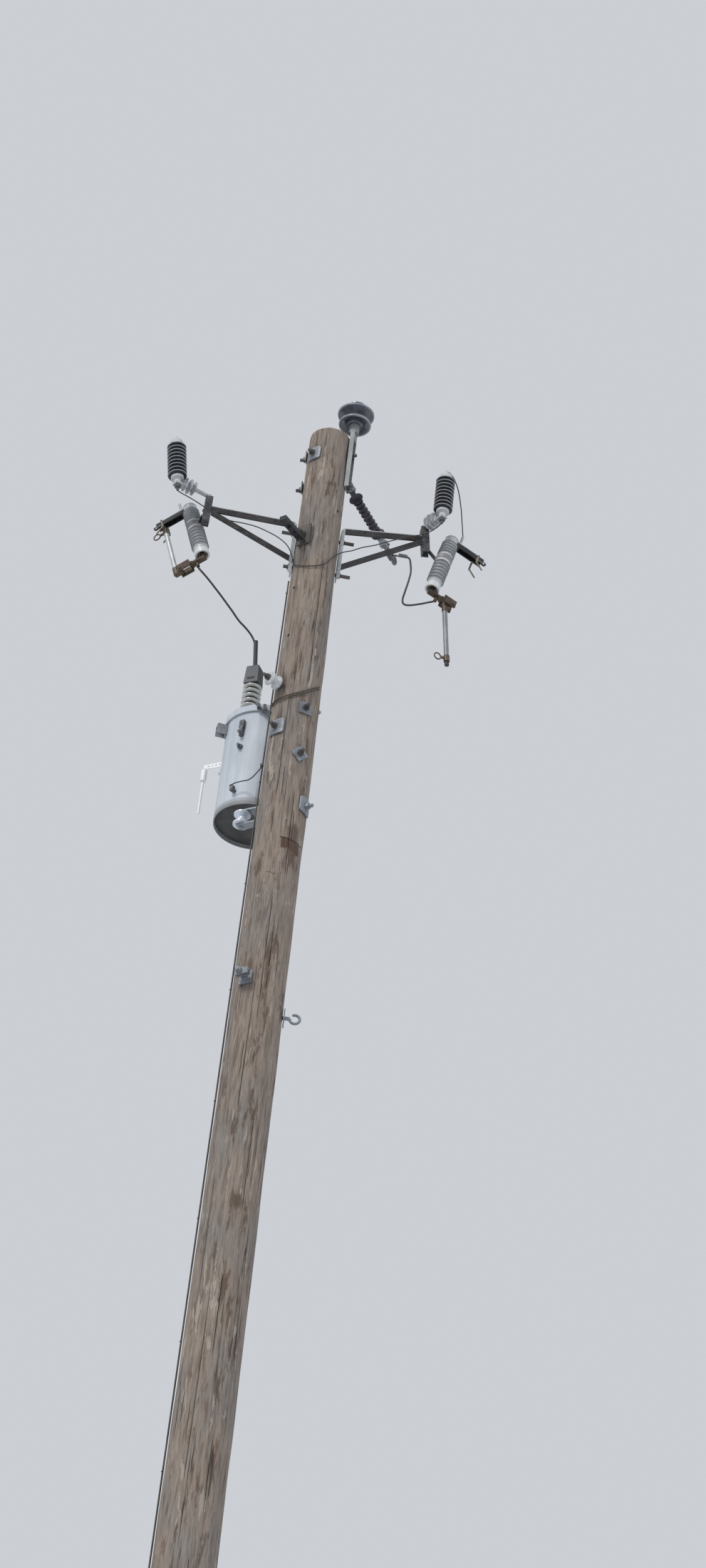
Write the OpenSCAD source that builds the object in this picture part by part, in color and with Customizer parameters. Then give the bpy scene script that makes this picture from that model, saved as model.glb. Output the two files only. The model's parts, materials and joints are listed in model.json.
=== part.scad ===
/* [Pole] */
// Height of the pole's top above the ground
pole_h = 11655; // [11000:5:12600]
// Diameter of the pole at the ground
pole_base_d = 290; // [280:2:310]
// Diameter of the pole at its top
pole_top_d = 190; // [184:2:200]
// Height of the worn bevel round the pole's top
pole_bevel = 30; // [10:1:40]

/* [Through bolts] */
// Diameter of the bolts through the pole
bolt_d = 16; // [14:1:18]
// Width of a nut across its flats
nut_w = 25; // [24:1:28]
// Thickness of a nut
nut_t = 14; // [12:1:16]
// Side of a square washer
washer_w = 57; // [50:1:64]
// Thickness of a square washer
washer_t = 5; // [4:0.5:7]
// Thickness of a curved washer
curved_t = 6; // [5:0.5:8]
// Length of bolt that shows past its nut
bolt_tail = 16; // [10:1:30]

/* [Ridge pin and pin insulator] */
// Direction of the ridge pin, in degrees from the right
ridge_az = -18; // [-24:1:-12]
// Upper bolt of the ridge pin, below the pole's top
ridge_bolt_hi = 130; // [120:2:150]
// Lower bolt of the ridge pin, below the pole's top
ridge_bolt_lo = 316; // [300:2:330]
// Width of the ridge pin's channel
ridge_w = 44; // [38:1:50]
// Depth of the ridge pin's channel
ridge_depth = 20; // [16:1:26]
// Wall of the ridge pin's channel
ridge_wall = 5; // [4:0.5:7]
// Length of channel below the lower bolt
ridge_foot = 14; // [12:1:30]
// Height of the insulator's seat above the pole's top
pin_rise = 50; // [40:1:60]
// Diameter of the thick tube below the insulator
pin_tube_d = 46; // [40:1:50]
// Diameter of the insulator's upper shed
pin_shed_d = 166; // [156:2:180]
// Diameter of the insulator's lower shed
pin_skirt_d = 146; // [136:2:160]
// Height from the lower shed's rim to the upper one's
pin_shed_gap = 60; // [50:1:70]
// Height of the head above the upper shed's rim
pin_head_up = 56; // [50:1:70]

/* [Dead end] */
// Direction of the dead-end eye, in degrees from the right
eye_az = 46; // [40:1:50]
// Depth of the eye bolt below the pole's top
eye_drop = 180; // [170:2:190]
// Side of the curved washer at the eye bolt's other end
eye_washer_w = 70; // [64:1:80]
// Direction of the dead-end insulator
deadend_az = 61; // [54:1:66]
// Length of the dead-end insulator between its pins
deadend_len = 424; // [400:2:440]
// Distance from the first pin to the first large shed
deadend_lead_in = 92; // [80:1:100]
// Distance between the two large sheds
deadend_row = 254; // [240:2:270]
// Diameter of the large end sheds
deadend_big_d = 66; // [60:1:76]
// Diameter of the small sheds
deadend_small_d = 46; // [42:1:56]

/* [Guy plate] */
// Direction of the guy plate, in degrees from the right
guy_az = 233; // [228:1:238]
// Depth of the guy bolt below the pole's top
guy_drop = 677; // [670:1:684]
// Height of the guy plate
guy_plate_h = 110; // [100:2:120]
// Reach of the guy clamp from the plate
guy_clamp_len = 150; // [130:2:170]

/* [Brackets] */
// Turn of the two brackets about the pole
bracket_az = 4; // [0:1:6]
// Root of the right bracket's arm, below the pole's top
right_arm_drop = 548; // [540:1:556]
// Root of the left bracket's arm, below the pole's top
left_arm_drop = 561; // [553:1:569]
// Angle by which the right arm rises outwards
right_rise = 6.5; // [4:0.5:8]
// Angle by which the left arm rises outwards
left_rise = 1; // [0:0.5:3]
// Upper bolt of the brackets, below the pole's top
bracket_bolt_hi = 617; // [612:1:624]
// Lower bolt of the brackets, below the pole's top
bracket_bolt_lo = 810; // [804:1:814]
// Length of these bolts past their nuts
bracket_tail = 44; // [30:1:50]
// Length of the lower bolt past its nut on the left
short_tail = 18; // [12:1:30]
// Distance of the right end channel from the pole's line
right_reach = 474; // [450:2:500]
// Distance of the left end channel from the pole's line
left_reach = 503; // [480:2:530]
// Height of the upright part of the bent bar
strip_h = 290; // [284:1:300]
// Depth of the upright part of the bent bar
strip_lip = 16; // [14:1:22]
// Depth of the bent bar's arm
arm_depth = 33; // [28:1:38]
// Width of the bent bar
bar_w = 40; // [38:1:46]
// Outer radius of the bar's bend
bend_r = 25; // [20:1:30]
// Thickness of the brackets' steel
bracket_t = 5; // [4:0.5:6]
// Leg of the braces' angle section
brace_leg = 28; // [26:1:32]
// Height of the brace's foot above the lower bolt
brace_up = 28; // [24:1:34]
// Depth of the brace's upper end below the arm's top
brace_under = 38; // [34:1:42]
// Height of an end channel
channel_h = 145; // [136:1:156]
// Height of an end channel's top above the arm
channel_up = 54; // [48:1:60]
// Width of an end channel along the arm
channel_d = 34; // [30:1:40]
// Width of an end channel across the arm
channel_w = 44; // [40:1:50]

/* [Arresters] */
// Diameter of an arrester's sheds
arrester_d = 86; // [80:1:92]
// Height of an arrester's ribbed body
arrester_h = 187; // [176:1:200]
// Number of sheds on an arrester
arrester_sheds = 9; // [7:1:10]
// Lean of the right arrester towards the left
right_arrester_lean = 0; // [-2:1:4]
// Lean of the left arrester towards the left
left_arrester_lean = 8; // [4:1:10]
// Direction of the right standoff
right_standoff_az = -55; // [-60:1:-50]
// Direction of the left standoff
left_standoff_az = 208; // [202:1:214]
// Length of the right standoff, from its post to the arrester's stud
right_standoff_len = 123; // [120:1:140]
// Length of the left standoff, from its post to the arrester's stud
left_standoff_len = 168; // [150:2:180]
// Distance of the right standoff's first disc from its post
right_disc_at = 25; // [24:0.5:26]
// Distance of the left standoff's first disc from its post
left_disc_at = 76; // [70:1:80]
// Diameter of the standoff's discs
standoff_d = 72; // [66:1:76]
// Height of the standoff's line above the end channel
standoff_up = 12; // [10:1:16]
// Depth of the arrester's plate below the standoff's line
plate_under = 20; // [18:1:24]

/* [Fuse cutouts] */
// Lean of the right cutout from plumb
right_lean = 13; // [10:1:16]
// Direction that the right cutout faces
right_face = 25; // [20:1:30]
// Lean of the left cutout from plumb
left_lean = 19; // [16:1:21]
// Direction that the left cutout faces
left_face = 147; // [143:1:150]
// Reach of the right cutout's band past its end channel
right_band_out = 94; // [92:1:98]
// Offset of the right cutout's band to the rear
right_band_side = -5; // [-7:1:-3]
// Depth of the right cutout's band below the arm's tip
right_band_drop = 114; // [108:1:120]
// Reach of the left cutout's band past its end channel
left_band_out = 40; // [38:1:44]
// Offset of the left cutout's band to the rear
left_band_side = 88; // [86:1:92]
// Depth of the left cutout's band below the arm's tip
left_band_drop = 50; // [46:1:54]
// Height from the band's middle to the top of the cap
cutout_top = 151; // [148:1:156]
// Depth from the band's middle to the rim
cutout_foot = 198; // [192:1:204]
// Diameter of the cutout's sheds
cutout_shed_d = 78; // [74:1:84]
// Diameter of the plain band at its middle
cutout_band_d = 66; // [60:1:70]
// Height from the band's middle to the arm's underside
arm_under = 112; // [110:1:116]
// Length of the upper contact's arm
contact_len = 169; // [164:1:176]
// Distance of the fuse tube's line from the insulator's line
tube_offset = 138; // [134:1:142]
// Distance of the hinge pin from the insulator's line
pivot_out = 108; // [106:1:112]
// Depth of the hinge pin below the insulator's rim
pivot_drop = 24; // [22:1:30]
// Diameter of the fuse tube
tube_d = 22; // [20:1:24]
// Diameter of the hinge pin
pivot_d = 12; // [10:1:14]
// Angle by which the open tube hangs round from its closed place
open_angle = 160; // [150:1:165]

/* [Transformer] */
// Direction of the transformer, in degrees from the right
tank_az = 112.5; // [110:0.5:118]
// Depth of the lid's edge below the pole's top
lid_drop = 1495; // [1480:5:1515]
// Diameter of the tank
tank_d = 330; // [316:2:340]
// Height of the tank
tank_h = 520; // [505:5:540]
// Wall of the tank
tank_wall = 4; // [3:0.5:6]
// Depth of the recess under the tank
tank_recess = 18; // [14:1:24]
// Gap between the pole and the tank
hanger_gap = 49; // [46:1:60]
// Depth of the upper hanger bolt below the lid's edge
hanger_hi_drop = 155; // [145:1:165]
// Depth of the lower hanger bolt below the lid's edge
hanger_lo_drop = 398; // [385:1:410]
// Place of the high voltage bushing along the transformer's direction
bushing_x = -18; // [-24:1:-12]
// Place of the high voltage bushing across it
bushing_y = 91; // [84:1:96]
// Height of the bushing above the lid's edge
bushing_h = 165; // [160:1:175]
// Angle of the front fittings on the tank, from its own direction
fitting_az = 124; // [120:1:128]
// Angle of the lifting lugs on the tank
lug_az = 79; // [74:1:84]

/* [Spools and plates] */
// Direction of the neutral spool
neutral_az = 220; // [216:1:224]
// Depth of the neutral bolt below the pole's top
neutral_drop = 1520; // [1510:1:1530]
// Direction of the ribbed plate
plate_az = 226; // [222:1:230]
// Depth of the ribbed plate below the upper hanger bolt
plate_drop = 101; // [95:1:110]
// Side of the ribbed plate
plate_w = 76; // [70:1:92]
// Direction of the service spool
service_az = 150; // [145:1:155]
// Depth of the service spool's middle below the tank
service_drop = 114; // [106:1:122]
// Distance of the service spool from the pole's line
spool_out = 189; // [184:1:200]
// Direction of the cable clamp low on the pole
clamp_az = 237; // [232:1:242]
// Height of the cable clamp above the ground
clamp_z = 8626; // [8500:5:8700]
// Direction of the cable hook low on the pole
hook_az = 359; // [354:1:364]
// Height of the cable hook above the ground
hook_z = 8517; // [8400:5:8600]

/* [Wires] */
// Diameter of the covered leads to the cutouts and to the transformer
lead_d = 9; // [7:0.5:10]
// Diameter of the bare leads
bare_d = 5; // [4:0.5:6]
// Diameter of the ground wire down the pole
ground_d = 7; // [5:0.5:8]

/* [Hidden] */
$fn = 48;

steel_colour = "dimgray";
galvanised = [0.66, 0.68, 0.69];
pale_porcelain = [0.80, 0.82, 0.82];
polymer_dark = [0.22, 0.22, 0.25];
tank_paint = [0.67, 0.71, 0.76];
wire_colour = [0.12, 0.12, 0.13];

fit = 0.3;
pin_fit = 0.05;
stud_d = 12;

function pole_r(z) = (pole_base_d + (pole_top_d - pole_base_d) * z / pole_h) / 2;
function below(drop) = pole_h - drop;
function polar(az, r, z) = [r * cos(az), r * sin(az), z];

module rod(a, b, d) {
    v = b - a;
    long = norm(v);
    translate(a)
        rotate([0, acos(v[2] / long), atan2(v[1], v[0])])
            cylinder(h = long, d = d);
}

// A pole side at a height: X points out of the pole, the origin is on the pole's line
module on_pole(az, z) {
    translate([0, 0, z])
        rotate(az)
            children();
}

// A bolt along X, from the nut's outer end on one side to that on the other
module through_bolt(near, far) {
    rod([-far - bolt_tail, 0, 0], [near + bolt_tail, 0, 0], bolt_d);
}

module nut(x, side = 1) {
    translate([x, 0, 0])
        rotate([0, side * 90, 0])
            cylinder(h = nut_t, d = nut_w / cos(30), $fn = 6);
}

module square_washer(x, side = 1, turn = 0) {
    translate([x, 0, 0])
        rotate([turn, 0, 0])
            translate([side > 0 ? 0 : -washer_t, -washer_w / 2, -washer_w / 2])
                cube([washer_t, washer_w, washer_w]);
}

module bolt_bore(az, z) {
    on_pole(az, z)
        rotate([0, 90, 0])
            translate([0, 0, -pole_base_d])
                cylinder(h = 2 * pole_base_d, d = bolt_d + 2 * fit);
}

// A hole that doesn't go through the pole
module blind_bore(az, z, d, deep) {
    on_pole(az, z)
        rotate([0, 90, 0])
            translate([0, 0, pole_r(z) - deep])
                cylinder(h = 2 * deep, d = d);
}

ridge_hi_z = below(ridge_bolt_hi);
ridge_lo_z = below(ridge_bolt_lo);
eye_z = below(eye_drop);
bracket_hi_z = below(bracket_bolt_hi);
bracket_lo_z = below(bracket_bolt_lo);
guy_z = below(guy_drop);
lid_z = below(lid_drop);
tank_z = lid_z - tank_h;
hanger_hi_z = lid_z - hanger_hi_drop;
hanger_lo_z = lid_z - hanger_lo_drop;
neutral_z = below(neutral_drop);
plate_z = hanger_hi_z - plate_drop;
service_z = tank_z - service_drop;
screw_deep = 70;
old_hole_d = 15;
old_hole_deep = 60;
old_holes = [[218, 967], [222, 1242], [320, 495]];

module wood_pole() {
    color([0.48, 0.44, 0.40])
        difference() {
            union() {
                cylinder(h = pole_h - pole_bevel, r1 = pole_r(0), r2 = pole_r(pole_h - pole_bevel));
                translate([0, 0, pole_h - pole_bevel])
                    cylinder(h = pole_bevel, r1 = pole_r(pole_h - pole_bevel), r2 = pole_top_d / 2 - pole_bevel);
            }
            bolt_bore(ridge_az, ridge_hi_z);
            bolt_bore(ridge_az, ridge_lo_z);
            bolt_bore(eye_az, eye_z);
            bolt_bore(bracket_az, bracket_hi_z);
            bolt_bore(bracket_az, bracket_lo_z);
            bolt_bore(guy_az, guy_z);
            bolt_bore(neutral_az, neutral_z);
            bolt_bore(plate_az, plate_z);
            bolt_bore(tank_az, hanger_hi_z);
            bolt_bore(tank_az, hanger_lo_z);
            bolt_bore(service_az, service_z);
            blind_bore(clamp_az, clamp_z, bolt_d + 2 * fit, screw_deep);
            blind_bore(hook_az, hook_z, bolt_d + 2 * fit, screw_deep);
            for (hole = old_holes)
                blind_bore(hole[0], below(hole[1]), old_hole_d, old_hole_deep);
        }
}

// Ridge pin: a channel bolted down the pole's side, with a thick tube and the insulator's pin at its head
ridge_seat = pole_r(ridge_lo_z - ridge_foot) + fit;
pin_seat_z = pole_h + pin_rise;
pin_x = ridge_seat + ridge_wall + 4;
pin_d = 24;
pin_deep = 60;
ridge_top_up = 20;

module ridge_pin() {
    foot_z = ridge_lo_z - ridge_foot;
    color(galvanised)
        on_pole(ridge_az, 0) {
            difference() {
                translate([ridge_seat, -ridge_w / 2, foot_z])
                    cube([ridge_depth, ridge_w, pole_h + ridge_top_up - foot_z]);
                translate([ridge_seat + ridge_wall, -ridge_w / 2 + ridge_wall, foot_z - 1])
                    cube([ridge_depth, ridge_w - 2 * ridge_wall, pole_h - foot_z - 40]);
                for (z = [ridge_hi_z, ridge_lo_z])
                    translate([0, 0, z])
                        rotate([0, 90, 0])
                            cylinder(h = 2 * ridge_seat, d = bolt_d + 2 * fit);
            }
            translate([pin_x, 0, pole_h + 3])
                cylinder(h = pin_rise - 3, d = pin_tube_d);
            translate([pin_x, 0, pole_h + 8])
                cylinder(h = pin_rise + pin_deep - 8, d = pin_d);
        }
}

pin_hub_d = 75;
pin_waist_d = 88;
pin_neck_d = 82;
pin_head_d = 92;
rim_z = 10;

// The insulator stands on the pin: a hub ring, two wide sheds, a tie groove and a round head
module pin_insulator() {
    r1 = pin_shed_d / 2;
    r2 = pin_skirt_d / 2;
    up = rim_z + pin_shed_gap;
    top = up + pin_head_up;
    color([0.50, 0.53, 0.57])
        on_pole(ridge_az, pin_seat_z)
            translate([pin_x, 0, 0])
                rotate_extrude($fn = 72)
                    polygon([
                        [pin_d / 2 + fit, 0], [pin_hub_d / 2 - 4, 0], [pin_hub_d / 2, 5], [pin_hub_d / 2 + 2, 20],
                        [r2 - 9, rim_z - 4], [r2, rim_z - 3], [r2 + 1, rim_z + 3], [pin_waist_d / 2, rim_z + 26],
                        [pin_waist_d / 2, up - 16], [r1 - 10, up - 4], [r1, up - 3], [r1 + 1, up + 3],
                        [pin_waist_d / 2 + 12, up + 22], [pin_neck_d / 2, up + 28], [pin_neck_d / 2, up + 36],
                        [pin_head_d / 2, up + 41], [pin_head_d / 2, top - 10], [pin_head_d / 2 - 10, top - 2],
                        [20, top], [0, top], [0, pin_deep + 6], [pin_d / 2 + fit, pin_deep + 2]
                    ]);
}

module ridge_bolts() {
    color(galvanised)
        for (z = [ridge_hi_z, ridge_lo_z])
            on_pole(ridge_az, z) {
                through_bolt(ridge_seat + ridge_wall + nut_t, pole_r(z) + washer_t + nut_t);
                nut(ridge_seat + ridge_wall);
                square_washer(-pole_r(z) - fit, -1);
                nut(-pole_r(z) - fit - washer_t, -1);
            }
}

// Curved square washer, wrapped on the pole
module curved_washer(az, z, w) {
    on_pole(az, z)
        difference() {
            intersection() {
                translate([0, 0, -w / 2])
                    cylinder(h = w, r = pole_r(z) + fit + curved_t);
                rotate([0, 90, 0])
                    linear_extrude(2 * pole_base_d)
                        offset(r = 12, $fn = 24)
                            square(w - 24, center = true);
            }
            translate([0, 0, -w])
                cylinder(h = 2 * w, r = pole_r(z) + fit);
            rotate([0, 90, 0])
                cylinder(h = 2 * pole_base_d, d = bolt_d + 2 * fit);
        }
}

eye_inner = 26;
eye_bar = 14;

module eye(x) {
    translate([x + eye_inner / 2 + eye_bar, 0, 0])
        rotate([90, 0, 0])
            rotate_extrude($fn = 48)
                translate([eye_inner / 2 + eye_bar / 2, 0])
                    circle(d = eye_bar, $fn = 24);
}

eye_x = pole_r(eye_z) + fit + washer_t + nut_t;

module deadend_eye_bolt() {
    back = pole_r(eye_z) + fit + curved_t;
    color(galvanised) {
        curved_washer(eye_az + 180, eye_z, eye_washer_w);
        on_pole(eye_az, eye_z) {
            rotate([0, 90, 0])
                translate([0, 0, -back - nut_t - bolt_tail])
                    cylinder(h = eye_x + back + nut_t + bolt_tail + 8, d = bolt_d);
            nut(-back, -1);
            square_washer(pole_r(eye_z) + fit, 1);
            nut(pole_r(eye_z) + fit + washer_t);
            eye(eye_x);
        }
    }
}

clevis_pin_d = 11;
clevis_gap = 26;
clevis_wall = 8;
eye_centre = polar(eye_az, eye_x + eye_inner / 2 + eye_bar, eye_z);
line_end = eye_centre
    + polar(deadend_az, (eye_inner + eye_bar) / 2 * cos(deadend_az - eye_az) - (clevis_pin_d + eye_bar) / 2 - fit, 0);

module shed(r, core, t) {
    rotate_extrude($fn = 60)
        polygon([[0, 0], [core, 0], [r - 3, t * 0.30], [r, t * 0.45], [r, t * 0.6], [core, t], [0, t]]);
}

small_sheds = 8;
far_pin_d = 10;

// Polymer dead-end insulator, built along Z and turned to the line's direction
module deadend_insulator() {
    pitch = deadend_row / (small_sheds + 1);
    color([0.33, 0.30, 0.36])
        translate(line_end)
            rotate(deadend_az)
                rotate([0, 90, 0]) {
                    translate([0, 0, 28])
                        cylinder(h = deadend_len - 56, d = 26);
                    for (z = [0, deadend_row])
                        translate([0, 0, deadend_lead_in + z]) shed(deadend_big_d / 2, 13, 11);
                    for (i = [1 : small_sheds])
                        translate([0, 0, deadend_lead_in + i * pitch])
                            shed(deadend_small_d / 2, 13, 9);
                }
    color(galvanised)
        translate(line_end)
            rotate(deadend_az) {
                for (s = [-1, 1])
                    translate([-9, (s * (clevis_gap + clevis_wall) - clevis_wall) / 2, -8]) cube([48, clevis_wall, 16]);
                translate([30, -clevis_gap / 2 - clevis_wall, -10]) cube([14, clevis_gap + 2 * clevis_wall, 20]);
                translate([0, clevis_gap / 2 + clevis_wall + 4, 0])
                    rotate([90, 0, 0]) cylinder(h = clevis_gap + 2 * clevis_wall + 8, d = clevis_pin_d);
                translate([deadend_len - 44, 0, 0])
                    rotate([0, 90, 0]) cylinder(h = 34, d = 32);
                translate([deadend_len - 14, -18, -10]) cube([10, 36, 20]);
                difference() {
                    for (s = [-1, 1])
                        translate([deadend_len - 6, s * 14 - 4, -10]) cube([24, 8, 20]);
                    translate([deadend_len + 8, 30, 0])
                        rotate([90, 0, 0]) cylinder(h = 60, d = far_pin_d + 2 * fit);
                }
            }
}

clamp_at = line_end + polar(deadend_az, deadend_len + 8, 0);
shoe_len = 96;
keeper_ring_d = 50;

// Dead-end clamp: a shoe on the insulator's clevis pin, with a keeper ring, two bolts and a tail with its connector
module deadend_clamp() {
    color([0.45, 0.46, 0.48])
        translate(clamp_at)
            rotate(deadend_az) {
                translate([0, 24, 0])
                    rotate([90, 0, 0]) cylinder(h = 48, d = far_pin_d);
                translate([-8, -9, -8]) cube([shoe_len, 18, 16]);
                translate([46, -12, -18]) cube([34, 24, 24]);
                for (x = [55, 71])
                    translate([x, 0, -34]) cylinder(h = 50, d = 9);
                translate([shoe_len - 8 + keeper_ring_d / 2 - 4, 0, 0])
                    rotate([90, 0, 0])
                        rotate_extrude($fn = 40)
                            translate([keeper_ring_d / 2 - 7, 0]) circle(d = 14, $fn = 20);
                rod([shoe_len - 26, 0, 0], [66, -62, -30], 9);
            }
    color(galvanised)
        translate(connector_at)
            rotate([0, 94, 0])
                translate([0, 0, -20]) cylinder(h = 40, d = 18);
}

connector_at = clamp_at + polar(deadend_az, 62, -32) + polar(deadend_az - 90, 69, 0);

guy_r = pole_r(guy_z) + fit;
guy_t = 8;

module guy_plate() {
    color(steel_colour)
        on_pole(guy_az, guy_z) {
            difference() {
                translate([guy_r, -32, -guy_plate_h / 2]) cube([guy_t, 64, guy_plate_h]);
                rotate([0, 90, 0]) cylinder(h = 2 * guy_r, d = bolt_d + 2 * fit);
            }
            nut(guy_r + guy_t);
            through_bolt(guy_r + guy_t + nut_t + 6, guy_r + washer_t + nut_t);
            square_washer(-guy_r, -1);
            nut(-guy_r - washer_t, -1);
            translate([guy_r + guy_t, -5, 5 - guy_plate_h / 2]) cube([32, 10, 26]);
        }
}

module guy_clamp() {
    low = 7 - guy_plate_h / 2;
    color([0.16, 0.17, 0.19])
        on_pole(guy_az, guy_z) {
            difference() {
                translate([guy_r + guy_t + 16, -16, low]) cube([guy_clamp_len, 32, 22]);
                translate([guy_r + guy_t + 12, -5.4, low - 12]) cube([26, 10.8, 50]);
            }
            for (x = [80, 120])
                translate([guy_r + x, 0, low - 10]) cylinder(h = 44, d = stud_d);
        }
}

strip_seat = pole_r(below(left_arm_drop) - strip_h) + fit;
bar_inner = strip_seat + bracket_t;
brace_foot_z = bracket_lo_z + brace_up;
brace_side = -8;
brace_sunk = 12;
arm_hole_at = 102;
arm_hole_d = 12;

module bracket_bolts() {
    out = bar_inner + nut_t + bracket_tail;
    color(galvanised)
        for (z = [bracket_hi_z, bracket_lo_z])
            on_pole(bracket_az, z) {
                less = z == bracket_lo_z ? bracket_tail - short_tail : 0;
                rod([less - out, 0, 0], [out, 0, 0], bolt_d);
                nut(bar_inner);
                nut(-bar_inner, -1);
            }
}

// Angle bar along X: a flat top leg and a leg that stands below it
module angle_bar(long, leg) {
    rotate([90, 0, 90])
        linear_extrude(long)
            polygon([
                [-leg / 2, 0], [leg / 2, 0], [leg / 2, -bracket_t], [bracket_t - leg / 2, -bracket_t],
                [bracket_t - leg / 2, -leg], [-leg / 2, -leg]
            ]);
}

// Side view of all that lies within the bent bar's outer line, set in by some amount
module bend_inside(arm_z, rise, inset) {
    r = bend_r - inset;
    centre = [bend_r, bend_r * tan(rise) - bend_r / cos(rise)];
    translate([strip_seat, arm_z])
        difference() {
            intersection() {
                translate([inset, -2 * strip_h]) square([4 * strip_h, 4 * strip_h]);
                rotate(rise)
                    translate([-strip_h, -3 * strip_h - inset]) square([5 * strip_h, 3 * strip_h]);
            }
            difference() {
                translate([inset - 1, centre[1]])
                    square([bend_r - r * sin(rise) - inset + 1, 2 * bend_r]);
                translate(centre) circle(r);
            }
        }
}

// Side view of the bent bar: an upright, a bend and an arm
module bent_bar(arm_z, rise, arm_len) {
    intersection() {
        bend_inside(arm_z, rise, 0);
        translate([strip_seat, arm_z])
            union() {
                translate([-1, -strip_h]) square([strip_lip + 1, strip_h + bend_r]);
                rotate(rise)
                    translate([0, -arm_depth]) square([arm_len, 2 * arm_depth]);
            }
    }
}

module bracket(arm_z, reach, rise) {
    arm_len = (reach - strip_seat) / cos(rise) - channel_d / 2;
    head = [strip_seat + arm_len * cos(rise) + brace_under * sin(rise), arm_z + arm_len * sin(rise) - brace_under * cos(rise)];
    slant = atan2(head[1] - brace_foot_z, head[0] - bar_inner);
    brace_len = norm([head[0] - bar_inner, head[1] - brace_foot_z]);
    difference() {
        union() {
            difference() {
                translate([0, bar_w / 2, 0])
                    rotate([90, 0, 0])
                        linear_extrude(bar_w) bent_bar(arm_z, rise, arm_len);
                translate([0, bar_w / 2 + 1, 0])
                    rotate([90, 0, 0])
                        linear_extrude(bar_w - bracket_t + 1) bend_inside(arm_z, rise, bracket_t);
            }
            intersection() {
                translate([bar_inner, brace_side, brace_foot_z])
                    rotate([0, -slant, 0])
                        translate([-brace_sunk, 0, brace_leg / 2])
                            angle_bar(brace_len + brace_sunk + brace_leg, brace_leg);
                translate([strip_seat, 0, arm_z])
                    rotate([0, -rise, 0])
                        translate([-strip_h, -bar_w, -2 * strip_h])
                            cube([strip_h + arm_len - 1, 2 * bar_w, 3 * strip_h]);
                translate([bar_inner - 1, -bar_w, arm_z - strip_h])
                    cube([2 * reach, 2 * bar_w, 2 * strip_h]);
            }
        }
        for (z = [bracket_hi_z, bracket_lo_z])
            translate([0, 0, z])
                rotate([0, 90, 0]) cylinder(h = bar_inner + 0.5, d = bolt_d + 2 * fit);
        translate([strip_seat, 0, arm_z])
            rotate([90, -rise, 0])
                translate([arm_hole_at, -arm_depth / 2 - 3, 0]) cylinder(h = bar_w, d = arm_hole_d);
    }
}

module right_bracket() {
    color(steel_colour)
        rotate(bracket_az)
            bracket(below(right_arm_drop), right_reach, right_rise);
}

module left_bracket() {
    color(steel_colour)
        rotate(bracket_az + 180)
            mirror([0, 1, 0])
                bracket(below(left_arm_drop), left_reach, left_rise);
}

// The arms' tips, at the arm's top on the end channel's line
right_tip_z = below(right_arm_drop) + (right_reach - strip_seat) * tan(right_rise);
left_tip_z = below(left_arm_drop) + (left_reach - strip_seat) * tan(left_rise);
right_tip = polar(bracket_az, right_reach, right_tip_z);
left_tip = polar(bracket_az + 180, left_reach, left_tip_z);

function off_tip(tip, az, rise, out, side, up) =
    tip + polar(az, out * cos(rise) - up * sin(rise), out * sin(rise) + up * cos(rise)) + polar(az + 90, side, 0);

module at_right_tip() {
    translate(right_tip)
        rotate(bracket_az)
            rotate([0, -right_rise, 0])
                children();
}

module at_left_tip() {
    translate(left_tip)
        rotate(bracket_az + 180)
            rotate([0, -left_rise, 0])
                children();
}

// End channel, open outwards, with the bolt that holds it on the arm
module end_channel() {
    color(steel_colour)
        difference() {
            translate([-channel_d / 2, -channel_w / 2, channel_up - channel_h])
                cube([channel_d, channel_w, channel_h]);
            translate([bracket_t - channel_d / 2, bracket_t - channel_w / 2, channel_up - channel_h - 1])
                cube([channel_d, channel_w - 2 * bracket_t, channel_h - bracket_t + 1]);
        }
    color(galvanised)
        translate([bracket_t - channel_d / 2 - 1, 0, -arm_depth * 0.6])
            rotate([0, 90, 0]) {
                cylinder(h = nut_t, d = nut_w / cos(30), $fn = 6);
                cylinder(h = channel_d, d = stud_d);
            }
}

module right_end_channel() {
    at_right_tip() end_channel();
}

module left_end_channel() {
    at_left_tip() end_channel();
}

right_post = off_tip(right_tip, bracket_az, right_rise, 0, 0, channel_up + standoff_up);
left_post = off_tip(left_tip, bracket_az + 180, left_rise, 0, 0, channel_up + standoff_up);
right_stud = right_post + polar(right_standoff_az, right_standoff_len, 0);
left_stud = left_post + polar(left_standoff_az, left_standoff_len, 0);
disc_pitch = 22;
standoff_rod_d = 19;

// The post that stands on an end channel
module standoff_post() {
    color(galvanised)
        translate([0, 0, channel_up]) cylinder(h = standoff_up + 10, d = 18);
}

// Standoff insulator, level, with three discs on its rod
module standoff_rod(long, disc_at) {
    color(galvanised)
        rotate([0, 90, 0]) cylinder(h = long - 30, d = standoff_rod_d);
    color(pale_porcelain)
        rotate([0, 90, 0])
            for (i = [0 : 2])
                translate([0, 0, disc_at + 3 + i * disc_pitch]) {
                    cylinder(h = 11, d = 34);
                    shed(standoff_d / 2 - (i == 1 ? 0 : 3), 13, 9);
                }
}

// The plate at the standoff's end, in the arrester's own lean
module standoff_plate(az) {
    color(steel_colour)
        rotate(az)
            difference() {
                union() {
                    translate([-38, -16, -plate_under - 4]) cube([54, 32, 8]);
                    translate([-38, -15, -plate_under - 3]) cube([11, 30, plate_under + 9]);
                }
                translate([0, 0, -plate_under - 10]) cylinder(h = 20, d = stud_d + 2 * fit);
            }
}

module right_standoff() {
    at_right_tip() standoff_post();
    translate(right_post) rotate(right_standoff_az) standoff_rod(right_standoff_len, right_disc_at);
    translate(right_stud) rotate([0, -right_arrester_lean, 0]) standoff_plate(right_standoff_az);
}

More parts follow.
